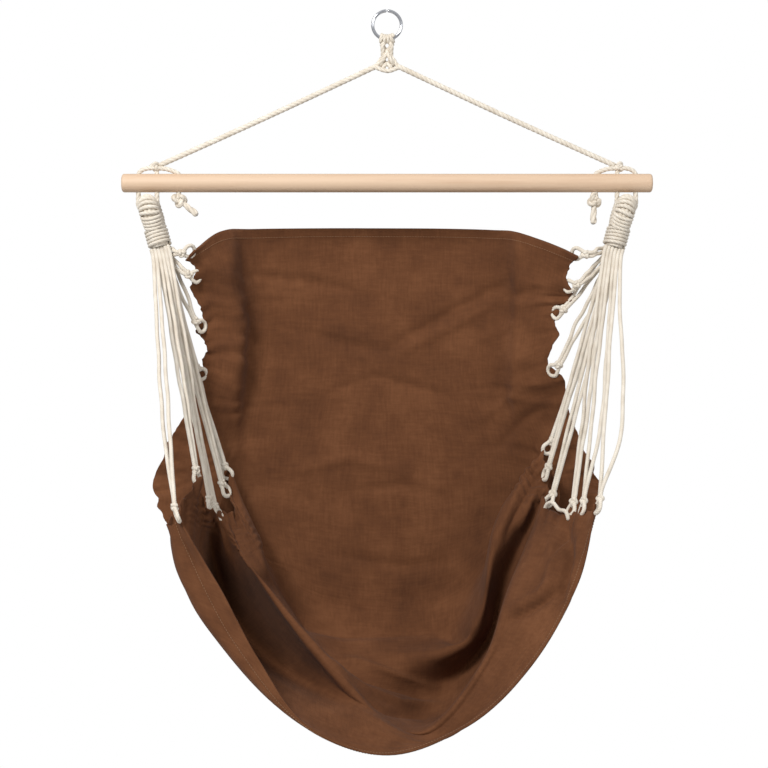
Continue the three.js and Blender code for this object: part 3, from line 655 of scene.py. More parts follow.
@dataclass(frozen=True)
class Layout:
    """Sizes and places that several sub-assemblies share."""

    ring_radius: float = 27 * MM
    ring_wire: float = 6 * MM
    bar_length: float = 1.0
    bar_diameter: float = 35 * MM
    bar_drop: float = 322 * MM
    rope: float = 9.5 * MM
    hole: float = 11 * MM
    hole_inset: float = 31 * MM
    bight_span: float = 35 * MM
    eye_clearance: float = 4 * MM
    stopper_gap: float = 41 * MM
    hitch_inset: float = 63 * MM
    hitch_rise: float = 12.5 * MM
    exit_spread: float = 56 * MM
    exit_drop: float = 105 * MM
    crest_core: float = 10.8 * MM
    winding_cord: float = 6 * MM
    eye_bend: float = 27 * MM
    eye_leg_depth: float = 16 * MM
    neck_lean: float = 24 * MM
    neck_drop: float = 121 * MM
    neck_width: float = 32 * MM
    neck_depth: float = 56 * MM
    neck_length: float = 33 * MM
    turn_steps: int = 12
    gap: float = 0.3 * MM

    @property
    def ring_centre_z(self) -> float:
        """Height of the ring's middle."""
        return -(self.ring_radius - self.ring_wire / 2)

    @property
    def bar_top_z(self) -> float:
        """Height of the bar's top."""
        return -self.bar_drop + self.bar_diameter / 2

    @property
    def corner(self) -> float:
        """How far a turn's corners stand out so that its flats clear the core."""
        return 1 / math.cos(math.pi / self.turn_steps)

    @property
    def crest_radius(self) -> float:
        """Outer radius of the winding at the eye's top, where the bight grips it."""
        return (self.crest_core / 2 + self.gap + self.winding_cord / 2) * self.corner + self.winding_cord / 2

    @property
    def eye_top_z(self) -> float:
        """Height of the eye's centre line at its top."""
        return -self.bar_drop - self.bar_diameter / 2 - self.eye_clearance - self.crest_radius

    @property
    def bight_z(self) -> float:
        """Height of the bight's run, which the seat turns about."""
        return self.eye_top_z - self.crest_radius / self.corner - self.gap - self.rope / 2

    @property
    def eye_x(self) -> float:
        """How far out the eyes hang."""
        return self.bar_length / 2 - self.hole_inset - self.bight_span / 2

    def holes(self, sign: int) -> list[float]:
        """Where the three holes of one side stand, from the bar's end inwards."""
        outer = self.bar_length / 2 - self.hole_inset
        inner = outer - self.bight_span
        return [sign * outer, sign * inner, sign * (inner - self.stopper_gap)]

    def rope_exit(self, sign: int) -> Array:
        """Where a rope leaves the crown knot."""
        return vec(sign * self.exit_spread / 2, 0, -self.exit_drop)

    def hitch(self, sign: int) -> Array:
        """The middle of a hitch knot."""
        return vec(sign * (self.bar_length / 2 - self.hitch_inset), 0, self.bar_top_z + self.hitch_rise)

    def eye_top(self, sign: int) -> Array:
        """The top of an eye's centre line."""
        return vec(sign * self.eye_x, 0, self.eye_top_z)

    def neck_bottom(self, sign: int) -> Array:
        """The middle of a neck's lower face."""
        return vec(sign * (self.eye_x - self.neck_lean), 0, -self.bar_drop - self.neck_drop)

    @property
    def eye_length(self) -> float:
        """Length of an eye from its top to the neck's lower face."""
        return float(np.linalg.norm(self.eye_top(1) - self.neck_bottom(1)))

    def leaned(self, sign: int, points: Array) -> Array:
        """Points of the upright eye in its leaned place: x along the width and z along the eye's axis."""
        axis = unit(self.eye_top(sign) - self.neck_bottom(sign))
        side = vec(axis[2], 0, -axis[0])
        x, y, z = points[..., :1], points[..., 1:2], points[..., 2:]
        return self.eye_top(sign) + x * side + y * vec(0, 1, 0) + z * axis


SIDES = {"left": -1, "right": 1}


def trefoil(centre: Array, axes: Array, size: float, depth: float, start: float = 0.0) -> Array:
    """The line of an overhand knot.

    x is a (sin t + 2 sin 2t), y is a (cos t - 2 cos 2t) and z is -b sin 3t, over one turn.

    Args:
        centre: the knot's middle.
        axes: three rows, the directions of x, y and z.
        size: a.
        depth: b.
        start: where on the turn the line begins.

    Returns:
        The line's points.
    """
    t = start + np.linspace(0, TURN, 90)
    local = np.stack([size * (np.sin(t) + 2 * np.sin(2 * t)), size * (np.cos(t) - 2 * np.cos(2 * t)),
                      -depth * np.sin(3 * t)], axis=1)
    return centre + local @ axes


@dataclass
class RingAndLashing:
    """The steel ring and the turns of rope that hold the rope work to it."""

    layout: Layout
    joint_gap: float = 1.2 * MM
    lashing_rope: float = 7.4 * MM
    turns: float = 4.5
    pitch: float = 6.3 * MM

    def ring(self) -> None:
        """A round wire bent to a circle whose ends butt at the top."""
        half = self.joint_gap / 2 / self.layout.ring_radius
        angle = np.linspace(half, TURN - half, 145)
        r = self.layout.ring_radius
        line = np.stack([r * np.sin(angle), 0 * angle, self.layout.ring_centre_z + r * np.cos(angle)], axis=1)
        inward = -unit(line - vec(0, 0, self.layout.ring_centre_z))
        wire = rope(line, self.layout.ring_wire, Lay(groove=0.0, sides=24), normals=inward)
        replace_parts(mesh_piece("ring_wire", [wire], PlatedSteel(), "ring"), "hanging_ring")

    def lashing(self) -> None:
        """A helix of rope round the lowest stretch of the wire."""
        helix = self.layout.ring_wire / 2 + self.lashing_rope / 2 - 0.3 * MM
        turn = np.linspace(0, self.turns, int(self.turns * 48))
        along = (turn - self.turns / 2) * self.pitch / self.layout.ring_radius
        phase = TURN * (turn + 0.25)
        outward = self.layout.ring_radius + helix * np.cos(phase)
        line = np.stack([outward * np.sin(along), helix * np.sin(phase),
                         self.layout.ring_centre_z - outward * np.cos(along)], axis=1)
        lay = Lay(turn=26 * MM, groove=0.22, sides=20)
        cord = rope(even_line(line, KNOT_STEP), self.lashing_rope, lay)
        rope_piece("lashing_turns", [cord], "lashing", "ring_lashing")

    def build(self) -> None:
        """Builds both."""
        self.ring()
        self.lashing()


@dataclass
class Suspension:
    """The crown knot, the two ropes, the hitches, the bar, the bights and the stopper knots."""

    layout: Layout
    strand: float = 8.2 * MM
    rope_lay: Lay = Lay(turn=30 * MM, groove=0.2, sides=24)
    knot_lay: Lay = Lay(turn=26 * MM, groove=0.18, sides=18)
    rope_step: float = 2 * MM
    foot_strand: float = 8.4 * MM
    flare_strand: float = 8.8 * MM
    rope_swell: float = 1.1
    sag: float = 1.6 * MM
    cut_swell: float = 1.23
    bar_rings: int = 160
    bar_sides: int = 72
    bar_rounding: float = 5 * MM

    def crown(self) -> None:
        """Four strands plaited, one across the foot, and two that flare into the ropes.

        In the plait x is A cos(q + i pi/2), y is B sin(2 q + i pi), and q grows downwards.
        """
        z = np.linspace(-57.5, -110, 90)
        q = np.interp(z, [-110, -104, -90, -62, -57.5], np.radians([250, 225, 135, 45, 22]))
        wide = np.interp(z, [-110, -101, -92, -80, -72, -62, -57.5], [6, 11, 10.5, 8, 8.2, 11.5, 12.5])
        deep = np.interp(z, [-110, -100, -60, -57.5], [2.0, 4.6, 4.6, 2.5])
        strands = []
        for i in range(4):
            turn = q + i * math.pi / 2
            line = np.stack([wide * np.cos(turn), deep * np.sin(2 * turn), z], axis=1) * MM
            strands.append(rope(smooth_line(line[::6], KNOT_STEP), self.strand, self.knot_lay, phase=i))
        foot = smooth_line(np.array([[-25, 2, -102], [-17, -4, -106], [-7, -6, -110], [2, -6.5, -111.5],
                                     [10, -5, -109.5], [18, -3, -106], [26, 2, -103]]) * MM, KNOT_STEP)
        strands.append(rope(foot, self.foot_strand, self.knot_lay))
        for sign in (-1, 1):
            flare = smooth_line(np.array([[sign * 8, 2, -84], [sign * 12.5, 1, -90], [sign * 18, 0, -98.5],
                                          [sign * 26, 0, -104]]) * MM, KNOT_STEP)
            strands.append(rope(flare, self.flare_strand, self.knot_lay))
        rope_piece("crown_plait", strands, "suspension", "crown_knot")

    def main_rope(self, name: str, sign: int) -> None:
        """A laid rope, nearly straight, from the crown knot to the hitch."""
        start, end = self.layout.rope_exit(sign), self.layout.hitch(sign)
        share = np.linspace(-0.02, 0.985, 240)[:, None]
        sag = vec(0, 0, -self.sag) * np.sin(math.pi * np.clip(share, 0, 1))
        line = even_line(start + (end - start) * share + sag, self.rope_step)
        laid = rope(line, self.layout.rope * self.rope_swell, self.rope_lay)
        rope_piece(f"rope_{name}", [laid], "suspension", f"suspension_rope_{name}")

    def hitch(self, name: str, sign: int) -> None:
        """An overhand knot on the rope's end, and three strands from it into the bar's holes."""
        centre, top = self.layout.hitch(sign), self.layout.bar_top_z
        holes = self.layout.holes(sign)
        along = unit(centre - self.layout.rope_exit(sign))
        axes = np.stack([along, unit(np.cross(vec(0, 1, 0), along)), vec(0, 1, 0)])
        knot = trefoil(centre + vec(sign * 1 * MM, 0, 1 * MM), axes, 2.15 * MM, 3.6 * MM, 0.6)
        lines = [knot]
        rise = self.layout.rope / 2 - 0.6 * MM
        for x, depth in zip(holes, (-1.0, 2.5, -2.0)):
            reach = abs(x - centre[0])
            hump = top + rise + (3.0 * MM if reach > 25 * MM and abs(x) > abs(centre[0]) else 0.6 * MM)
            lines.append(np.array([
                centre + vec(0, depth * MM, -2 * MM),
                [centre[0] + (x - centre[0]) * 0.45, depth * MM, (centre[2] + hump) / 2 + 0.5 * MM],
                [centre[0] + (x - centre[0]) * 0.8, depth * 0.4 * MM, hump - 0.5 * MM],
                [x, 0, top - 1 * MM],
                [x, 0, top - 9 * MM],
            ]))
        ropes = [rope(smooth_line(line, KNOT_STEP), self.layout.rope - 0.6 * MM, self.knot_lay, phase=k)
                 for k, line in enumerate(lines)]
        rope_piece(f"hitch_{name}", ropes, "suspension", f"hitch_knot_{name}")

    def bight(self, name: str, sign: int) -> None:
        """The rope that comes down one hole, runs under the eye's top and goes up the next."""
        outer, inner, _ = self.layout.holes(sign)
        z, r = self.layout.bight_z, 9 * MM
        low = self.layout.bar_top_z - 12 * MM
        line = np.array([[outer, 0, low], [outer, 0, z + 24 * MM], [outer, 0, z + r],
                         [outer - sign * r * 0.3, 0, z + r * 0.3], [outer - sign * r, 0, z],
                         [(outer + inner) / 2, 0, z], [inner + sign * r, 0, z],
                         [inner + sign * r * 0.3, 0, z + r * 0.3], [inner, 0, z + r], [inner, 0, z + 24 * MM],
                         [inner, 0, low]])
        laid = rope(smooth_line(line, BEND_STEP), self.layout.rope, self.rope_lay)
        rope_piece(f"bight_{name}", [laid], "suspension", f"bar_bight_{name}")

    def stopper(self, name: str, sign: int) -> None:
        """An overhand knot under the third hole, and a tail with a sealed end."""
        x = self.layout.holes(sign)[2]
        under = -self.layout.bar_drop - self.layout.bar_diameter / 2
        middle = vec(x + 1 * MM if sign < 0 else x - 2 * MM, 0, under - 15 * MM)
        way = unit(vec(-sign * 0.8, -0.1, -0.62) if sign < 0 else vec(-sign * 0.06, -0.1, -1))
        side = unit(np.cross(way, vec(0, 1, 0)))
        knot = trefoil(middle, np.stack([side, way * 1.25, np.cross(side, way)]), 3.3 * MM, 5.6 * MM, 0.4)
        stem = smooth_line(np.array([[x, 0, self.layout.bar_top_z - 12 * MM], [x, 0, under + 8 * MM],
                                     [x, 0, under - 3 * MM], middle]), BEND_STEP)
        reach = np.array([0, 12, 24, 34, 44])[:, None] * MM
        tail = smooth_line(middle + way * reach + vec(0, 0, -1) * (reach / 0.044) ** 2 * 1.5 * MM, KNOT_STEP)
        swell = np.interp(np.linspace(0, 1, len(tail)), [0, 0.35, 0.8, 1], [0.95, 1.15, 1.4, 1.25])
        ropes = [rope(smooth_line(knot, KNOT_STEP), self.layout.rope, self.knot_lay),
                 rope(stem, self.layout.rope, self.knot_lay),
                 rope(tail, self.layout.rope, Lay(turn=60 * MM, groove=0.3, sides=18), swell=swell)]
        rope_piece(f"stopper_{name}", ropes, "suspension", f"stopper_knot_{name}")
        end = tail[-1] + unit(tail[-1] - tail[-3]) * np.linspace(-2.0, 0.7, 7)[:, None] * MM
        cut = rope(end, self.layout.rope * self.cut_swell, Lay(groove=0.12, sides=18, turn=60 * MM),
                   swell=np.array([0.9, 1, 1, 1, 1, 1, 1]))
        mesh_piece(f"tail_end_{name}", [cut], SealedEnd(), "suspension")

    def bar(self) -> None:
        """A turned bar along X, its ends rounded by an arc, drilled upright three times a side."""
        r, half, soft = self.layout.bar_diameter / 2, self.layout.bar_length / 2, self.bar_rounding
        bend = np.linspace(0, math.pi / 2, 8)
        end_x, end_r = soft * np.sin(bend), r - soft + soft * np.cos(bend)
        middle = np.linspace(-half + soft, half - soft, self.bar_rings)[1:-1]
        x = np.concatenate([-(half - soft + end_x[::-1]), middle, half - soft + end_x])
        radius = np.concatenate([end_r[::-1], np.full(len(middle), r), end_r])
        angle = np.linspace(0, TURN, self.bar_sides, endpoint=False)
        points = np.stack([np.broadcast_to(x[:, None], (len(x), self.bar_sides)),
                           radius[:, None] * np.sin(angle),
                           -self.layout.bar_drop + radius[:, None] * np.cos(angle)], axis=2)
        uv = np.stack(np.broadcast_arrays(angle[None] / 6.28, x[:, None]), axis=2)
        bar = mesh_piece("bar_turned", [Surface(points[::-1], uv[::-1])], PlainWood(), "suspension")
        for sign in SIDES.values():
            for place in self.layout.holes(sign):
                bpy.ops.mesh.primitive_cylinder_add(vertices=32, radius=self.layout.hole / 2, depth=0.06,
                                                    location=(place, 0, -self.layout.bar_drop))
                drill = bpy.context.object
                cut = bar.modifiers.new("drill", "BOOLEAN")
                cut.object = drill
                cut.solver = "EXACT"
                bpy.context.view_layer.objects.active = bar
                bpy.ops.object.modifier_apply(modifier="drill")
                bpy.data.objects.remove(drill)
        bar.data.polygons.foreach_set("use_smooth", np.ones(len(bar.data.polygons), bool))
        bar.data.set_sharp_from_angle(angle=math.radians(40))
        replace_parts(bar, "spreader_bar")

    def build(self) -> None:
        """Builds every piece."""
        self.crown()
        self.bar()
        for name, sign in SIDES.items():
            self.main_rope(name, sign)
            self.hitch(name, sign)
            self.bight(name, sign)
            self.stopper(name, sign)


@dataclass
class Eye:
    """A wound eye: the bundle bent over the bight, its winding, and the whipping round the neck."""

    layout: Layout
    name: str
    sign: int
    cord: float = 7.0 * MM
    pitch: float = 6.6 * MM
    whip_cord: float = 6.6 * MM
    whip_turns: float = 5.0
    crest_swell: float = 0.28
    swell_reach: float = 50 * MM

    def outer_radius(self, run: Array) -> Array:
        """Radius over the winding, by the run from the eye's top: thin at the bight, then full, then less."""
        return np.interp(run, [0, 5 * MM, 12 * MM, 20 * MM, 50 * MM, 90 * MM],
                         np.array([12.2, 12.5, 15.6, 19.4, 20.0, 17.6]) * MM)

    def centre_line(self) -> Array:
        """Up the front leg, over in a half circle of the bend's radius and down the rear leg, upright."""
        r, leg = self.layout.eye_bend, self.layout.eye_leg_depth
        low = self.layout.neck_length - self.layout.eye_length
        bend = np.linspace(0, math.pi, 25)
        arch = np.stack([0 * bend, -r * np.cos(bend), r * (np.sin(bend) - 1)], axis=1)
        front = np.array([[0, -leg, low - 8 * MM], [0, -leg, low], [0, -(leg + r) / 2, (low - r) / 2]])
        rear = (front * [1, -1, 1])[::-1]
        return smooth_line(np.vstack([front, arch, rear]), 0.5 * MM)

    def core(self) -> None:
        """The bundle under the winding, laid of nine strands, and the neck, an oval block."""
        line = self.layout.leaned(self.sign, self.centre_line())[::4]
        s = line_lengths(line)
        core = self.outer_radius(np.abs(s - s[-1] / 2)) - self.cord * 0.8
        bundle = rope(line, 2 * MM, Lay(strands=9, groove=0.16, turn=200 * MM, sides=36), swell=core / MM)
        z = np.linspace(-self.layout.eye_length, self.layout.neck_length - self.layout.eye_length, 20)
        angle = np.linspace(0, TURN, 48, endpoint=False)
        lobes = 1 - 0.05 * (1 - np.abs(np.cos(angle * 7)))
        ring = np.stack([self.layout.neck_width / 2 * np.cos(angle) * lobes,
                         self.layout.neck_depth / 2 * np.sin(angle) * lobes], axis=1)
        block = np.concatenate([np.broadcast_to(ring, (len(z), *ring.shape)),
                                np.broadcast_to(z[:, None, None], (len(z), len(ring), 1))], axis=2)
        uv = np.stack(np.broadcast_arrays(angle[None] * 3, z[:, None] / (5 * MM)), axis=2)
        neck = Surface(self.layout.leaned(self.sign, block), uv)
        rope_piece(f"bundle_{self.name}", [bundle, neck], "seat", f"eye_core_{self.name}")

    def winding(self) -> None:
        """A helix round the centre line: its angle grows by a turn for each pitch of length along the line.

        The cord swells towards the eye's top and the helix draws in by as much, so that its outside keeps to
        the outer radius and clears the bar when the seat tilts.
        """
        line = self.centre_line()
        low = self.layout.neck_length - self.layout.eye_length + 3 * MM
        line = line[line[:, 2] > low]
        tangents = tangents_of(line)
        outward = np.cross(tangents, vec(1, 0, 0))
        s = line_lengths(line)
        turn = s / self.pitch
        fine = np.linspace(0, turn[-1], int(turn[-1] * 36))
        at, out = read_off(line, turn, fine), unit(read_off(outward, turn, fine))
        run = np.abs(fine * self.pitch - s[-1] / 2)
        flat = 1 + self.crest_swell * np.clip(1 - run / self.swell_reach, 0, 1)
        radius = (self.outer_radius(run) - self.cord / 2 * flat)[:, None]
        spun = at + radius * (np.cos(TURN * fine)[:, None] * out
                              + np.sin(TURN * fine)[:, None] * vec(1, 0, 0))
        line = self.layout.leaned(self.sign, spun)
        winding = rope(line, self.cord, Lay(turn=22 * MM, groove=0.14, sides=14), swell=flat)
        rope_piece(f"winding_{self.name}", [winding], "seat", f"eye_winding_{self.name}")

    def whipping(self) -> None:
        """A close oval helix round the neck."""
        pitch = self.layout.neck_length / (self.whip_turns + 0.1)
        turn = np.linspace(0, self.whip_turns, int(self.whip_turns * 60))
        phase = TURN * turn
        reach = self.whip_cord / 2
        oval = np.stack([(self.layout.neck_width / 2 + reach) * np.cos(phase),
                         (self.layout.neck_depth / 2 + reach) * np.sin(phase),
                         -self.layout.eye_length + 3.2 * MM + turn * pitch], axis=1)
        line = even_line(self.layout.leaned(self.sign, oval), BEND_STEP)
        turns = rope(line, self.whip_cord, Lay(turn=22 * MM, groove=0.16, sides=14))
        rope_piece(f"neck_turns_{self.name}", [turns], "seat", f"whipping_{self.name}")

    def build(self) -> None:
        """Builds the eye."""
        self.core()
        self.winding()
        self.whipping()


# The cloth and its cords

# The net's rows from the top hem to the front hem: left edge, five points of cloth, right edge, as shares.
NET_SHARES = [
    [-1.031, -0.077, 0.121, -0.86, 0.218, 0.079, -0.457, 0.236, 0.074, -0.029, 0.226, 0.074,
     0.386, 0.236, 0.075, 0.734, 0.218, 0.083, 0.989, -0.077, 0.127],
    [-1.006, -0.013, 0.171, -0.857, 0.221, 0.155, -0.457, 0.246, 0.15, -0.029, 0.236, 0.15,
     0.386, 0.246, 0.152, 0.734, 0.221, 0.157, 0.954, -0.013, 0.187],
    [-0.986, 0.051, 0.266, -0.846, 0.226, 0.248, -0.457, 0.251, 0.243, -0.029, 0.244, 0.243,
     0.386, 0.251, 0.245, 0.737, 0.226, 0.243, 0.894, 0.051, 0.239],
    [-0.989, 0.077, 0.359, -0.834, 0.226, 0.361, -0.457, 0.251, 0.361, -0.029, 0.246, 0.361,
     0.386, 0.251, 0.361, 0.734, 0.226, 0.361, 0.88, 0.077, 0.351],
    [-1.266, 0.167, 0.533, -0.857, 0.21, 0.498, -0.457, 0.249, 0.498, -0.023, 0.246, 0.498,
     0.386, 0.249, 0.498, 0.749, 0.21, 0.503, 1.126, 0.167, 0.533],
    [-1.129, 0.115, 0.606, -0.814, 0.185, 0.606, -0.451, 0.236, 0.624, -0.017, 0.236, 0.635,
     0.377, 0.236, 0.625, 0.729, 0.185, 0.606, 1.043, 0.115, 0.591],
    [-0.857, 0.051, 0.552, -0.709, 0.128, 0.665, -0.4, 0.195, 0.738, -0.014, 0.215, 0.773,
     0.357, 0.195, 0.733, 0.671, 0.128, 0.645, 0.857, 0.051, 0.504],
    [-0.849, -0.026, 0.58, -0.586, 0.038, 0.724, -0.337, 0.115, 0.802, -0.006, 0.141, 0.836,
     0.371, 0.051, 0.812, 0.749, -0.103, 0.704, 0.843, -0.026, 0.549],
    [-0.88, -0.154, 0.623, -0.543, -0.128, 0.777, -0.311, -0.231, 0.869, 0.014, -0.385, 0.967,
     0.386, -0.474, 0.909, 0.591, -0.449, 0.782, 0.837, -0.154, 0.597],
    [-0.929, -0.256, 0.607, -0.786, -0.282, 0.773, -0.486, -0.385, 0.91, 0, -0.5, 0.984,
     0.429, -0.551, 0.922, 0.7, -0.5, 0.792, 0.951, -0.308, 0.611],
    [-0.986, -0.385, 0.554, -0.909, -0.462, 0.773, -0.491, -0.551, 0.944, -0.023, -0.59, 0.998,
     0.451, -0.615, 0.931, 0.8, -0.564, 0.797, 0.994, -0.487, 0.606],
    [-1.086, -0.551, 0.591, -0.857, -0.603, 0.81, -0.471, -0.628, 0.956, -0.051, -0.679, 1.01,
     0.471, -0.672, 0.937, 0.857, -0.641, 0.787, 1.029, -0.603, 0.591],
    [-1.04, -0.692, 0.611, -0.749, -0.731, 0.773, -0.451, -0.749, 0.938, -0.08, -0.769, 1.001,
     0.394, -0.756, 0.952, 0.814, -0.738, 0.773, 1.043, -0.692, 0.597],
]
NET_SPANS = len(NET_SHARES) - 1

# The rows of the net whose edge points hold a cord.
CORD_ROWS = [0, 1, 2, 3, 6, 7, 8, 9, 10, 12]


@dataclass(frozen=True)
class Net:
    """A surface through a net of points in shares of its size.

    Cords hold at its side edges, and the cloth follows its first four rows between the side bands.
    """

    half_width: float = 0.35
    depth: float = 0.39
    drop: float = 1.02
    setback: float = 0.028
    top: float = -0.322

    def at(self, across: Array, down: Array) -> Array:
        """Points of the surface: Catmull-Rom weights down, times the net, times the weights across.

        Args:
            across: places from the left edge, 0, to the right, 1.
            down: places from the top hem, 0, to the front hem, 1.

        Returns:
            A grid with a row for each place down.
        """
        net = np.array(NET_SHARES).reshape(len(NET_SHARES), -1, 3) * [self.half_width, self.depth, -self.drop]
        net = net + [0, self.setback, self.top]
        rows = catmull_weights(net.shape[0], np.atleast_1d(down).astype(float))
        columns = catmull_weights(net.shape[1], np.atleast_1d(across).astype(float))
        return np.einsum("ij,jkd,lk->ild", rows, net, columns)

    def point(self, across: float, down: float) -> Array:
        """One point of the surface."""
        return self.at(np.array([across]), np.array([down]))[0, 0]


@dataclass
class Fan:
    """The ten doubled cords of one side, each with a loop through the cloth's edge and a knot.

    The cords are declared with the solids' diameter, cord, and are drawn thicker, as they are seen.
    """

    layout: Layout
    net: Net
    name: str
    sign: int
    cord: float = 6 * MM
    drawn: float = 7.8 * MM
    lay: Lay = Lay(turn=13 * MM, groove=0.2, sides=12)
    pitch: float = 6.5 * MM
    row_pitch: float = 12 * MM
    straight: float = 14 * MM
    opening: float = 11 * MM
    loop_radius: float = 11 * MM
    loop_turn: float = 0.3
    knot_rise: float = 16 * MM
    knot_lead: float = 14 * MM
    bow: float = 26 * MM
    clearing_step: float = 0.5 * MM
    nudge: float = 0.02
    step: float = 1.6 * MM

    # for each cord: its row on the neck's face, its place in that row, and how many share the row
    PLACES = [(0.5, 2, 3), (0.5, 1, 3), (1.5, 1, 2), (1.5, 0, 2), (0.5, 0, 3), (-0.5, 1, 2), (-0.5, 0, 2),
              (-1.5, 2, 3), (-1.5, 1, 3), (-1.5, 0, 3)]
    # shares of the straight run and, by side, of the bow; then, by side, clearing steps of a loop
    STRAIGHTS = [0.35, 0.6, 0.8, 1, 1, 1, 1, 1, 1, 1]
    SLACK = {-1: [0] * 9 + [0.25], 1: [0] * 8 + [0.45, 1]}
    CLEARING = {-1: [0] * 10, 1: [0, 0, 3] + [0] * 7}

    def route(self, index: int) -> tuple[Array, Array, Array]:
        """The points that a doubled cord passes through, its knot's middle and the knot's axes."""
        row, place, in_row = self.PLACES[index]
        down, across = CORD_ROWS[index] / NET_SPANS, 0.0 if self.sign < 0 else 1.0
        edge = self.net.point(across, down)
        below, above = min(down + self.nudge, 1), max(down - self.nudge, 0)
        along = unit(self.net.point(across, below) - self.net.point(across, above))
        outward = edge - self.net.point(abs(across - self.nudge), down)
        outward = unit(outward - along * (along @ outward))
        downward = unit(self.layout.neck_bottom(self.sign) - self.layout.eye_top(self.sign))
        x = ((in_row - 1) / 2 - place) * 2 * self.pitch
        low = -self.layout.eye_length - self.layout.gap
        exits = [self.layout.leaned(self.sign, vec(self.sign * (x + outer * self.pitch / 2),
                                                   row * self.row_pitch, low)) for outer in (1, -1)]
        run = self.straight * self.STRAIGHTS[index]
        middle = (exits[0] + exits[1]) / 2 + downward * run
        away = unit(middle - edge)
        loop_way = unit(outward + (away - outward) * self.loop_turn)
        stand_off = self.cord / 2 + self.layout.gap + self.CLEARING[self.sign][index] * self.clearing_step
        loop_centre = edge + loop_way * (self.loop_radius + stand_off)
        knot_way = unit(loop_way + away)
        knot_centre = loop_centre + knot_way * self.knot_rise
        lead = knot_centre + away * self.knot_lead
        apart = unit(along - knot_way * (along @ knot_way))
        if (exits[0] - exits[1]) @ apart < 0:
            apart = -apart
        loop_side = unit(along - loop_way * (along @ loop_way))
        if apart @ loop_side < 0:
            loop_side = -loop_side
        beside = self.cord / 2 + 0.25 * MM
        strands = []
        for which, turned in ((0, 1), (1, -1)):
            start, end = exits[which] + downward * run, lead + apart * turned * beside
            bow = self.bow * self.SLACK[self.sign][index] if which == 0 else 0
            between = []
            for share in ([0.2, 0.4, 0.6, 0.8] if bow else [0.25, 0.5, 0.75]):
                opened = unit(vec(self.sign * turned, 0, 0) * (1 - share) + apart * turned * share)
                point = start + (end - start) * share
                point = point + opened * (self.opening - self.cord) / 2 * math.sin(math.pi * share)
                between.append(point + vec(self.sign * bow * math.sin(math.pi * share**2), 0, 0))
            strands.append([exits[which], start, *between, end, knot_centre + apart * turned * beside])
        turn = np.linspace(0, math.pi, 7)[:, None]
        loop = loop_centre + self.loop_radius * (loop_side * np.cos(turn) - loop_way * np.sin(turn))
        points = np.array([*strands[0], *loop, *strands[1][::-1]])
        return points, knot_centre, np.stack([apart, knot_way, np.cross(apart, knot_way)])

    def build(self) -> None:
        dice = np.random.default_rng(40 + self.sign)
        for index in range(10):
            points, centre, axes = self.route(index)
            line = smooth_line(points, self.step)
            share = np.linspace(0, 1, len(line))
            fade = np.sin(math.pi * np.clip(share * 2 % 1, 0, 1))[:, None] ** 2
            for wave in (11, 23):
                drift = dice.uniform(-1, 1, 3) * 1.5 * MM * 11 / wave
                line = line + fade * drift * np.sin(share * wave * math.pi + dice.uniform(0, 6))[:, None]
            number = f"{self.name}_{index:02d}"
            cord = rope_piece(f"fan_{number}", [rope(line, self.drawn, self.lay)], "seat")
            knot_line = smooth_line(trefoil(centre, axes, 1.9 * MM, 3.2 * MM, dice.uniform(0, 6)), KNOT_STEP)
            knot = rope_piece(f"knot_{number}", [rope(knot_line, self.drawn, self.lay)], "seat")
            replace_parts(cord, f"{self.name}_cord_{index:02d}")
            if self.sign > 0 and index == 6:
                self.edge_cord()

    def edge_cord(self) -> bpy.types.Object:
        """The bit of cord that runs along the right edge from one held point to the next."""
        start, end = self.net.point(1.0, 8 / NET_SPANS), self.net.point(1.0, 9 / NET_SPANS)
        share = np.array([0, 0.12, 0.35, 0.6, 0.88, 1])[:, None]
        rise = np.array([-6, 8, 15, 7, 8, -6])[:, None] * MM * vec(0, 0, 1)
        line = smooth_line(start + (end - start) * share + rise + vec(0, -1, 0) * 9 * MM, self.step)
        return rope_piece("edge_cord", [rope(line, self.drawn, self.lay)], "seat")


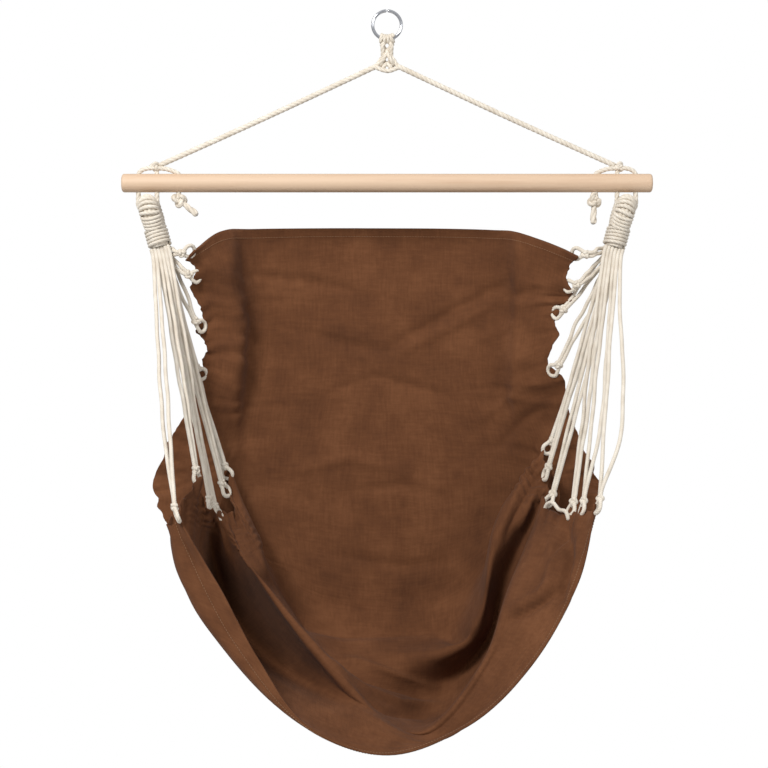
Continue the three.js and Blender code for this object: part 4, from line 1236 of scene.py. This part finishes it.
@dataclass(frozen=True)
class Drape:
    """The cloth as it lies: the net's rows down the back, then rows of places as they are seen."""

    net: Net
    columns: int = 9
    back_rows: int = 4
    # places from the left edge to the right: x and y in the photograph, and the depth in mm
    seen_rows: tuple = (
        (162, 466, 93, 212, 458, 92, 248, 450, 108, 313, 450, 124, 383, 450, 124,
         448, 450, 124, 508, 452, 108, 547, 460, 96, 589, 466, 93),
        (168, 518, 66, 202, 512, 80, 246, 506, 100, 308, 515, 118, 384, 520, 120,
         452, 515, 118, 510, 506, 102, 550, 505, 86, 598, 500, 60),
        (206, 538, 50, 232, 536, 64, 262, 550, 84, 311, 566, 106, 384, 576, 114,
         448, 566, 106, 500, 538, 86, 536, 528, 66, 570, 536, 50),
        (230, 480, 48, 250, 524, 52, 269, 562, 66, 312, 602, 88, 384, 614, 98,
         447, 604, 90, 486, 566, 66, 512, 505, 44, 544, 455, 48),
        (230, 496, 18, 262, 544, -34, 277, 578, 30, 315, 628, 50, 386, 634, 60,
         447, 632, 44, 478, 592, 20, 500, 512, -6, 543, 479, 18),
        (236, 510, 0, 262, 560, -64, 277, 592, -20, 324, 651, -12, 388, 658, -18,
         446, 652, -34, 480, 618, -44, 497, 548, -40, 545, 488, 2),
        (234, 516, -14, 254, 565, -78, 272, 594, -60, 318, 657, -56, 384, 680, -50,
         444, 682, 6, 486, 640, 14, 505, 578, 6, 546, 495, -8),
        (228, 518, -26, 244, 559, -76, 265, 588, -88, 309, 643, -104, 375, 694, -100,
         438, 714, -70, 493, 656, -60, 513, 590, -44, 545, 502, -20),
        (222, 521, -32, 238, 550, -60, 259, 580, -94, 302, 636, -126, 367, 703, -150,
         425, 729, -196, 484, 660, -196, 509, 588, -160, 544, 507, -32),
        (217, 520, -50, 228, 560, -24, 248, 600, -6, 290, 652, -50, 366, 708, -166,
         431, 734, -214, 492, 662, -212, 518, 588, -192, 552, 514, -66),
        (211, 514, -72, 212, 552, 0, 232, 612, 40, 272, 664, -6, 364, 713, -184,
         438, 737, -228, 500, 664, -222, 535, 590, -208, 568, 517, -92),
        (205, 510, -98, 202, 556, -60, 224, 622, -20, 266, 676, -100, 363, 724, -210,
         445, 738, -238, 508, 665, -232, 548, 590, -218, 575, 518, -128),
        (198, 486, -122, 192, 560, -150, 214, 624, -160, 269, 694, -200, 365, 740, -244,
         452, 735, -248, 516, 666, -242, 559, 591, -228, 580, 517, -162),
        (170, 525, -205, 179, 572, -226, 211, 630, -244, 287, 715, -264, 372, 752, -264,
         459, 729, -258, 523, 667, -252, 568, 592, -240, 597, 514, -208),
        (180, 523, -242, 221, 590, -252, 258, 658, -262, 306, 724, -272, 386, 755, -274,
         467, 727, -268, 529, 668, -262, 575, 591, -250, 597, 516, -242),
    )
    # the rows that the cords hold
    held_rows: tuple = (0, 1, 2, 3, 7, 8, 12, 14, 16, 18)
    # the side bands' edges on the net's first rows, from the edge inwards
    band_left: tuple = (222, 231, 44, 254, 229, 98, 230, 275, 50, 254, 272, 104,
                        236, 325, 58, 258, 318, 108, 233, 382, 62, 255, 380, 110)
    band_right: tuple = (521, 233, 56, 492, 230, 102, 521, 273, 60, 492, 270, 108,
                         520, 317, 70, 492, 316, 110, 518, 379, 74, 490, 378, 112)

    def placed(self, seen: tuple, wide: int) -> Array:
        """Places in the frame of points given as seen in the photograph, with their depths in mm."""
        seen = np.array(seen, float).reshape(-1, wide, 3)
        scale = pixel_width(seen[..., 2] * MM)
        return np.stack([CAMERA[0] + (seen[..., 0] - FRAME_MIDDLE) * scale, seen[..., 2] * MM,
                         CAMERA[2] - (seen[..., 1] - FRAME_MIDDLE) * scale], axis=2)

    def points(self) -> Array:
        """The net of nineteen rows of nine points; its held points are those of the cords."""
        upper = self.net.at(np.linspace(0, 1, self.columns), np.arange(self.back_rows) / NET_SPANS)
        made = np.concatenate([upper, self.placed(self.seen_rows, self.columns)])
        made[:self.back_rows, 1:3] = self.placed(self.band_left, 2)
        made[:self.back_rows, [7, 6]] = self.placed(self.band_right, 2)
        for row, held in zip(CORD_ROWS, self.held_rows):
            made[held, 0] = self.net.point(0.0, row / NET_SPANS)
            made[held, -1] = self.net.point(1.0, row / NET_SPANS)
        return made

    def places(self, count: int) -> Array:
        """Places down the cloth, 0 to 1, at equal steps of a blend of the rows' mean and greatest distance."""
        fine = np.linspace(0, 1, 1200)
        net = self.points()
        rows = np.einsum("ij,jkd->ikd", catmull_weights(len(net), fine), net)
        run = np.linalg.norm(np.diff(rows, axis=0), axis=2)
        steps = 0.6 * run.mean(axis=1) + 0.4 * run.max(axis=1)
        length = np.concatenate([[0], np.cumsum(steps)])
        return np.interp(np.linspace(0, length[-1], count), length, fine)

    def at(self, across: Array, down: Array) -> Array:
        """Points of the cloth: Catmull-Rom weights down, times the net, times the weights across."""
        net = self.points()
        return np.einsum("ij,jkd,lk->ild", catmull_weights(len(net), down), net,
                         catmull_weights(self.columns, across))


@dataclass
class Sling:
    """The brown cloth: one sheet with hems, drawn in along both sides where the cords hold it."""

    net: Net
    columns: int = 168
    rows: int = 286
    edge_crowding: float = 0.62
    thickness: float = 1.6 * MM
    hem: float = 19 * MM
    hem_step: float = 1.0 * MM
    flat: tuple = (0.98, 1.28)
    cover: float = 18 * MM
    hem_slope: float = 1.5 * MM
    stitch_inset: float = 6 * MM
    stitch_length: float = 5.2 * MM
    thread: float = 1.3 * MM
    thread_lift: float = 0.1 * MM

    # by side: rows of the drape, and how far the edge stands out there in mm
    LOBES = {-1: ((0, 0.3, 0.6, 1, 1.25, 1.6, 2, 2.1, 2.5, 2.75, 3, 3.12, 3.3, 3.7),
                  (0, 24, 14, 0, 26, 10, 0, 11, 4, 16, 0, 13, 4, 8)),
             1: ((0, 0.12, 0.6, 1, 1.36, 1.75, 1.98, 2.48, 2.82, 3, 3.1, 3.35, 3.7),
                 (4, 8, 2, 0, 32, 32, 0, 28, 4, 0, 28, 14, 6))}

    FURROWS = [
        # seen line, width and height in mm, first and last row of the drape; first those of the side bands
        (((230, 235), (227, 278), (237, 325), (233, 380), (235, 455)), 11, 6.2, 0, 4.6),
        (((243, 235), (241, 280), (249, 325), (245, 380), (246, 455)), 10, -2.4, 0, 4.6),
        (((232, 240), (230, 280), (238, 325), (235, 380), (236, 440)), 30, 9.0, 0, 4.6),
        (((519, 240), (520, 300), (517, 400), (520, 440)), 30, 6.0, 0, 4.4),
        (((519, 235), (520, 300), (517, 400), (520, 440)), 9, 3.6, 0, 4.4),
        (((509, 235), (510, 300), (507, 400), (510, 440)), 10, -1.8, 0, 4.4),
        # the left pocket and the ridge in front of it
        (((266, 548), (286, 592), (310, 626), (345, 634), (420, 633)), 9, -11.0, 5.6, 9.4),
        (((257, 566), (280, 602), (310, 642), (345, 684), (366, 703)), 10, 8.5, 10.2, 13),
        # folds of the seat
        (((436, 632), (452, 638), (468, 636)), 12, -13.0, 6, 9.5),
        (((350, 660), (390, 673), (432, 688)), 7, 11.0, 8.6, 11.5),
        (((345, 671), (385, 684), (425, 698)), 6, -13.0, 8.6, 12),
        (((330, 665), (365, 690), (400, 703), (440, 706)), 6, 11.0, 9, 12),
        (((350, 692), (385, 711), (425, 717)), 6, -11.0, 9, 12),
        (((400, 656), (440, 655), (470, 641), (492, 618)), 9, 6.0, 8, 10),
        # the right side of the front, then the left
        (((508, 622), (530, 611), (560, 590)), 8, -11.0, 12.5, 18),
        (((512, 608), (534, 598), (556, 580)), 9, 8.0, 12.5, 18),
        (((564, 524), (569, 558), (562, 598)), 9, -14.0, 12.5, 18),
        (((550, 522), (552, 560), (545, 595)), 10, 8.0, 12.5, 18),
        (((579, 522), (580, 556), (570, 596)), 8, 8.0, 12.5, 18),
        (((186, 545), (200, 585), (230, 640)), 9, 4, 16.5, 18),
        # pleats of the lobes
        (((228, 512), (234, 530), (243, 552)), 5, -6.0, 8, 12.2),
        (((543, 462), (528, 474), (514, 500), (500, 530)), 6, 6.0, 6, 10),
        (((543, 472), (530, 487), (517, 512), (505, 538)), 6, -7.0, 6, 10),
        (((541, 486), (530, 502), (520, 526)), 6, 6.5, 7, 10),
        (((541, 450), (524, 462), (508, 486)), 6, -6.0, 6, 9),
        (((538, 442), (520, 450), (500, 470)), 7, 5.0, 5.5, 9),
        # wrinkles of the back
        (((252, 276), (300, 280), (350, 290)), 9, -6.0, 0, 3),
        (((508, 282), (462, 306), (395, 344)), 10, -7.0, 0, 4),
        (((500, 300), (455, 325), (400, 352)), 9, 4.5, 0, 4),
        (((300, 330), (350, 345), (392, 352)), 10, -5.0, 0.5, 4),
        (((330, 392), (375, 376), (420, 388), (452, 398)), 8, -4.5, 2, 5),
        (((300, 470), (350, 458), (395, 470)), 9, 4.5, 3, 6),
        (((350, 492), (400, 484), (450, 500)), 9, -4.5, 3, 6),
        (((340, 556), (400, 566), (460, 560)), 10, -4.5, 4, 6.5),
        # short wrinkles by the side edges
        (((203, 262), (226, 276), (262, 296)), 9, 3.5, 0, 3),
        (((205, 292), (230, 300), (262, 320)), 8, -3.5, 0, 3),
        (((209, 330), (240, 334), (275, 350)), 9, -3.5, 1, 4),
        (((210, 352), (236, 360), (262, 372)), 8, 3.5, 1, 4),
        (((547, 316), (520, 322), (480, 340)), 9, 3.5, 1, 4),
        (((552, 286), (530, 290), (505, 300)), 8, -3.5, 0, 4),
        (((549, 380), (520, 390), (480, 420)), 9, 3.5, 2, 5),
        (((549, 404), (525, 418), (496, 450)), 9, -4.5, 3, 6),
    ]

    RUCHES = [
        # seen middle of the rings, least and greatest distance, pitch (in the photograph), height in mm, rows
        (222, 490, 22, 80, 8.2, 1.6, 7.6, 12.2),
        (552, 458, 10, 60, 8.4, 3.0, 5.6, 9.6),
        (205, 492, 8, 44, 6.4, 2.0, 13, 16.6),
        (560, 500, 10, 34, 6.8, 1.2, 12, 15),
        (560, 440, 14, 50, 7.5, 1.1, 3.6, 6),
        (196, 440, 14, 50, 7.5, 1.1, 3.6, 6.4),
    ]

    def ruched(self, seen: Array, row: Array) -> Array:
        """Heights towards the sitter of patches of short pleats: h sin(2 pi r / pitch + drift) in rings."""
        height = np.zeros(seen.shape[:2])
        drift = 2.4 * soft_noise(seen.shape[:2], (34, 16), 61)
        uneven = 1 + 0.6 * soft_noise(seen.shape[:2], (30, 14), 62)
        for x, y, least, greatest, pitch, high, first, last in self.RUCHES:
            away = np.hypot(seen[..., 0] - x, seen[..., 1] - y)
            patch = np.clip((away - least) / 6, 0, 1) * np.clip((greatest - away) / 22, 0, 1)
            within = faded(row, first, last, 0.3)
            height += high * MM * uneven * patch * within[:, None] * np.sin(TURN * away / pitch + drift)
        return height

    def furrowed(self, base: Array, row: Array) -> Array:
        """Heights towards the sitter of furrows and ridges: bells across lines drawn as they are seen.

        A bell is h exp(-(d / w)^2), where d is the distance between the seen place of a point and the line.
        It is lower towards both ends of its line.
        """
        scale = pixel_width(base[..., 1])
        seen = np.stack([FRAME_MIDDLE + (base[..., 0] - CAMERA[0]) / scale,
                         FRAME_MIDDLE - (base[..., 2] - CAMERA[2]) / scale], axis=2)
        height = np.zeros(base.shape[:2])
        for line, wide, high, first, last in self.FURROWS:
            near, share = np.full(base.shape[:2], 1e9), np.zeros(base.shape[:2])
            for k, (start, end) in enumerate(zip(np.array(line[:-1], float), np.array(line[1:], float))):
                way = end - start
                t = np.clip(((seen - start) @ way) / (way @ way), 0, 1)
                apart = np.linalg.norm(seen - start - t[..., None] * way, axis=2)
                share = np.where(apart < near, (k + t) / (len(line) - 1), share)
                near = np.minimum(near, apart)
            within = faded(row, first, last, 0.4)
            swell = 0.35 + 0.65 * np.sin(math.pi * np.clip(share, 0.02, 0.98)) ** 0.7
            height += high * MM * swell * within[:, None] * np.exp(-((near * PIXEL_MM / wide) ** 2))
        return height + self.ruched(seen, row)

    def gathered(self, down: Array, left: Array, right: Array, row: Array) -> tuple[Array, Array]:
        """Heights and sideways shifts of the gathers along both side edges.

        The heights are A exp(-d / D) sin(k s + drift) in three sizes of pleat, where d is the distance from
        the edge and s runs along it. They fade where a cord holds. The shift lets the edge out in lobes
        between the cords.
        """
        count = len(row)
        height, shift = np.zeros(down.shape), np.zeros(down.shape)
        for edge, away, seed, sign in ((0, left, 21, -1), (-1, right, 22, 1)):
            s = down[:, edge][:, None]
            held = np.interp(np.array(Drape.held_rows), row, down[:, edge])
            near = np.min(np.abs(s - held[None]), axis=1)[:, None]
            free = np.clip(near / (16 * MM), 0, 1) ** 0.7
            drift = soft_noise((count, 2), (24, 1), seed)[:, :1]
            swing = 1 + 0.7 * soft_noise((count, 2), (19, 1), seed + 5)[:, :1]
            bend = 2.2 * soft_noise(down.shape, (20, 9), seed + 9)
            fan = s + 0.22 * away * np.sin(TURN * s / (180 * MM) + seed)
            at_edge = np.exp(-away / (20 * MM))
            fine = np.sin(TURN * fan / (13 * MM) + 3 * drift + bend)
            middle = np.sin(TURN * fan / (29 * MM) + 2.5 * drift + 1.3 * bend)
            broad = np.sin(TURN * fan / (67 * MM) + 2 * drift + 0.8 * bend)
            height += 1.2 * MM * swing * (0.4 + 0.6 * free) * fine * at_edge
            height += 2.4 * MM * swing * (0.3 + 0.7 * free) * middle * np.exp(-away / (40 * MM))
            height += 3.6 * MM * broad * np.exp(-away / (85 * MM)) * (0.3 + 0.7 * free)
            lobe = free * (7 + 3.5 * swing * np.sin(TURN * s / (52 * MM) + 3 * drift)) * MM
            drawn = np.interp(row, *self.LOBES[sign])[:, None] * MM
            lobe = np.where(row[:, None] < 3.7, drawn + 1.2 * MM * fine[:, :1], lobe)
            close = np.exp(-((near / (12 * MM)) ** 2))
            shift += sign * (lobe * at_edge + self.cover * close * np.exp(-away / (15 * MM)))
            height -= 6.5 * MM * close * at_edge
        return height, shift

    def across_places(self) -> Array:
        """Places across the cloth, closer together towards both edges: t - c sin(2 pi t) / (2 pi)."""
        t = np.linspace(0, 1, self.columns)
        return t - self.edge_crowding * np.sin(TURN * t) / TURN

    def surface(self) -> tuple[Array, Array, Array, Array]:
        """The cloth's middle surface with its gathers, furrows and wrinkles, and its outward normals.

        Returns:
            The points, the normals, and the lengths down and across.
        """
        drape = Drape(self.net)
        u, v = self.across_places(), drape.places(self.rows)
        base = drape.at(u, v)
        down, across = grid_lengths(base, 0), grid_lengths(base, 1)
        normal = grid_normals(base)
        tangent = unit(np.gradient(base, axis=1))
        row = v * (len(drape.points()) - 1)
        height, shift = self.gathered(down, across, across[:, -1:] - across, row)
        height += (1.5 * MM * soft_noise(base.shape[:2], (22, 9), 3)
                   + 0.6 * MM * soft_noise(base.shape[:2], (70, 30), 8))
        height -= self.furrowed(base, row)
        points = base + normal * height[..., None] + tangent * shift[..., None]
        return points, grid_normals(points), down, across

    def stitches(self, points: Array, normal: Array, down: Array) -> list[Surface]:
        """Rows of thread along both hems on both faces; each stitch is a spindle of five rings."""
        made = []
        middle = down[:, self.columns // 2]
        for place in (self.hem - self.stitch_inset, middle[-1] - self.hem + self.stitch_inset):
            row = int(np.searchsorted(middle, place))
            for face in (-1, 1):
                offset = face * (self.thickness / 2 + self.hem_step + self.thread_lift)
                line = even_line(points[row] + normal[row] * offset, self.stitch_length)
                for start, end in zip(line[:-1], line[1:]):
                    share = np.linspace(0.12, 0.88, 5)[:, None]
                    made.append(rope(start + (end - start) * share, self.thread, Lay(groove=0.0, sides=5)))
        return made

    def build(self) -> None:
        """Builds the cloth and its thread."""
        points, normal, down, across = self.surface()
        LOG.info("cloth: rows %.3f to %.3f long, columns %.3f to %.3f", across[:, -1].min(),
                 across[:, -1].max(), down[-1].min(), down[-1].max())
        rise = np.clip((self.hem - down) / self.hem_slope, 0, 1) + np.clip(
            (down - down[-1:] + self.hem) / self.hem_slope, 0, 1)
        half = (self.thickness / 2 + self.hem_step * rise)[..., None]
        ring = np.concatenate([points + normal * half, (points - normal * half)[:, ::-1]], axis=1)
        u, v = self.across_places() * self.flat[0], np.linspace(0, self.flat[1], self.rows)
        flat = np.stack(np.meshgrid(np.concatenate([u, u[::-1]]), v), axis=2)
        sheet = Surface(ring, flat, ends=Ends.FOLD)
        cloth = mesh_piece("sling_cloth", [sheet], BrownCanvas(), "seat")
        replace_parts(cloth, "seat_fabric")
        stitches = self.stitches(points, normal, down)
        thread = mesh_piece("hem_thread", stitches, BrownThread(), "seat")


@dataclass
class Studio:
    """The camera, the lights, the pale floor and the white surround."""

    camera_place: tuple = CAMERA
    lens: float = 86.96
    floor_height: float = -2.0
    floor_radius: float = 1.7
    aim: tuple = (0.0, 0.0, -0.75)
    # place, size and power
    key: tuple = ((-1.5, -2.8, 1.3), 0.9, 112)
    fill: tuple = ((2.4, -2.2, 0.0), 1.6, 22)

    def camera(self) -> None:
        """A level camera that looks along +Y."""
        data = bpy.data.cameras.new("camera")
        data.lens, data.sensor_width = self.lens, 36.0
        data.clip_end = 50
        camera = new_object("camera", data)
        camera.location = self.camera_place
        camera.rotation_euler = (math.pi / 2, 0, 0)
        bpy.context.scene.camera = camera

    def lamp(self, name: str, place: tuple, size: float, power: float) -> None:
        """A soft square lamp turned to the chair's middle."""
        data = bpy.data.lights.new(name, "AREA")
        data.size, data.energy = size, power
        lamp = new_object(name, data)
        lamp.location = place
        way = Vector(self.aim) - Vector(place)
        lamp.rotation_euler = way.to_track_quat("-Z", "Y").to_euler()

    def world(self) -> None:
        """White to the camera, a softer grey for the light that falls on the chair."""
        world = bpy.data.worlds.new("surround")
        bpy.context.scene.world = world
        world.use_nodes = True
        tree = world.node_tree
        tree.nodes.clear()
        path = add_node(tree, "ShaderNodeLightPath")
        white = add_node(tree, "ShaderNodeBackground", Color=(1, 1, 1, 1), Strength=1.0)
        place = add_node(tree, "ShaderNodeTexCoord")
        split = add_node(tree, "ShaderNodeSeparateXYZ", {"Vector": place.outputs["Generated"]})
        height = ranged(tree, split.outputs["Z"], From_Min=-0.5, From_Max=0.9, To_Min=0.40, To_Max=0.62)
        soft = add_node(tree, "ShaderNodeBackground", {"Strength": height}, Color=(0.97, 0.98, 1, 1))
        mix = add_node(tree, "ShaderNodeMixShader", {0: path.outputs["Is Camera Ray"], 1: soft.outputs[0],
                                                     2: white.outputs[0]})
        out = add_node(tree, "ShaderNodeOutputWorld", {"Surface": mix.outputs[0]})
        out.is_active_output = True

    def floor(self) -> None:
        """A round floor well below the chair."""
        bpy.ops.mesh.primitive_circle_add(vertices=96, radius=self.floor_radius, fill_type="NGON",
                                          location=(0, 0, self.floor_height))
        floor = bpy.context.object
        floor.name = "studio_floor"
        floor.data.materials.append(PaleFloor().material())

    def build(self) -> None:
        """Sets the scene up round the chair."""
        bpy.context.scene.view_settings.view_transform = "Standard"
        self.lamp("key", *self.key)
        self.lamp("fill", *self.fill)
        self.world()
        self.floor()


def main() -> None:
    """Builds the whole scene in order."""
    logging.basicConfig(level=logging.INFO, format="%(message)s")
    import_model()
    layout, net, studio = Layout(), Net(), Studio()
    studio.camera()
    for name, sign in SIDES.items():
        Fan(layout, net, name, sign).build()
    Sling(net).build()
    RingAndLashing(layout).build()
    Suspension(layout).build()
    for name, sign in SIDES.items():
        Eye(layout, name, sign).build()
    studio.build()


if __name__ == "__main__":
    main()
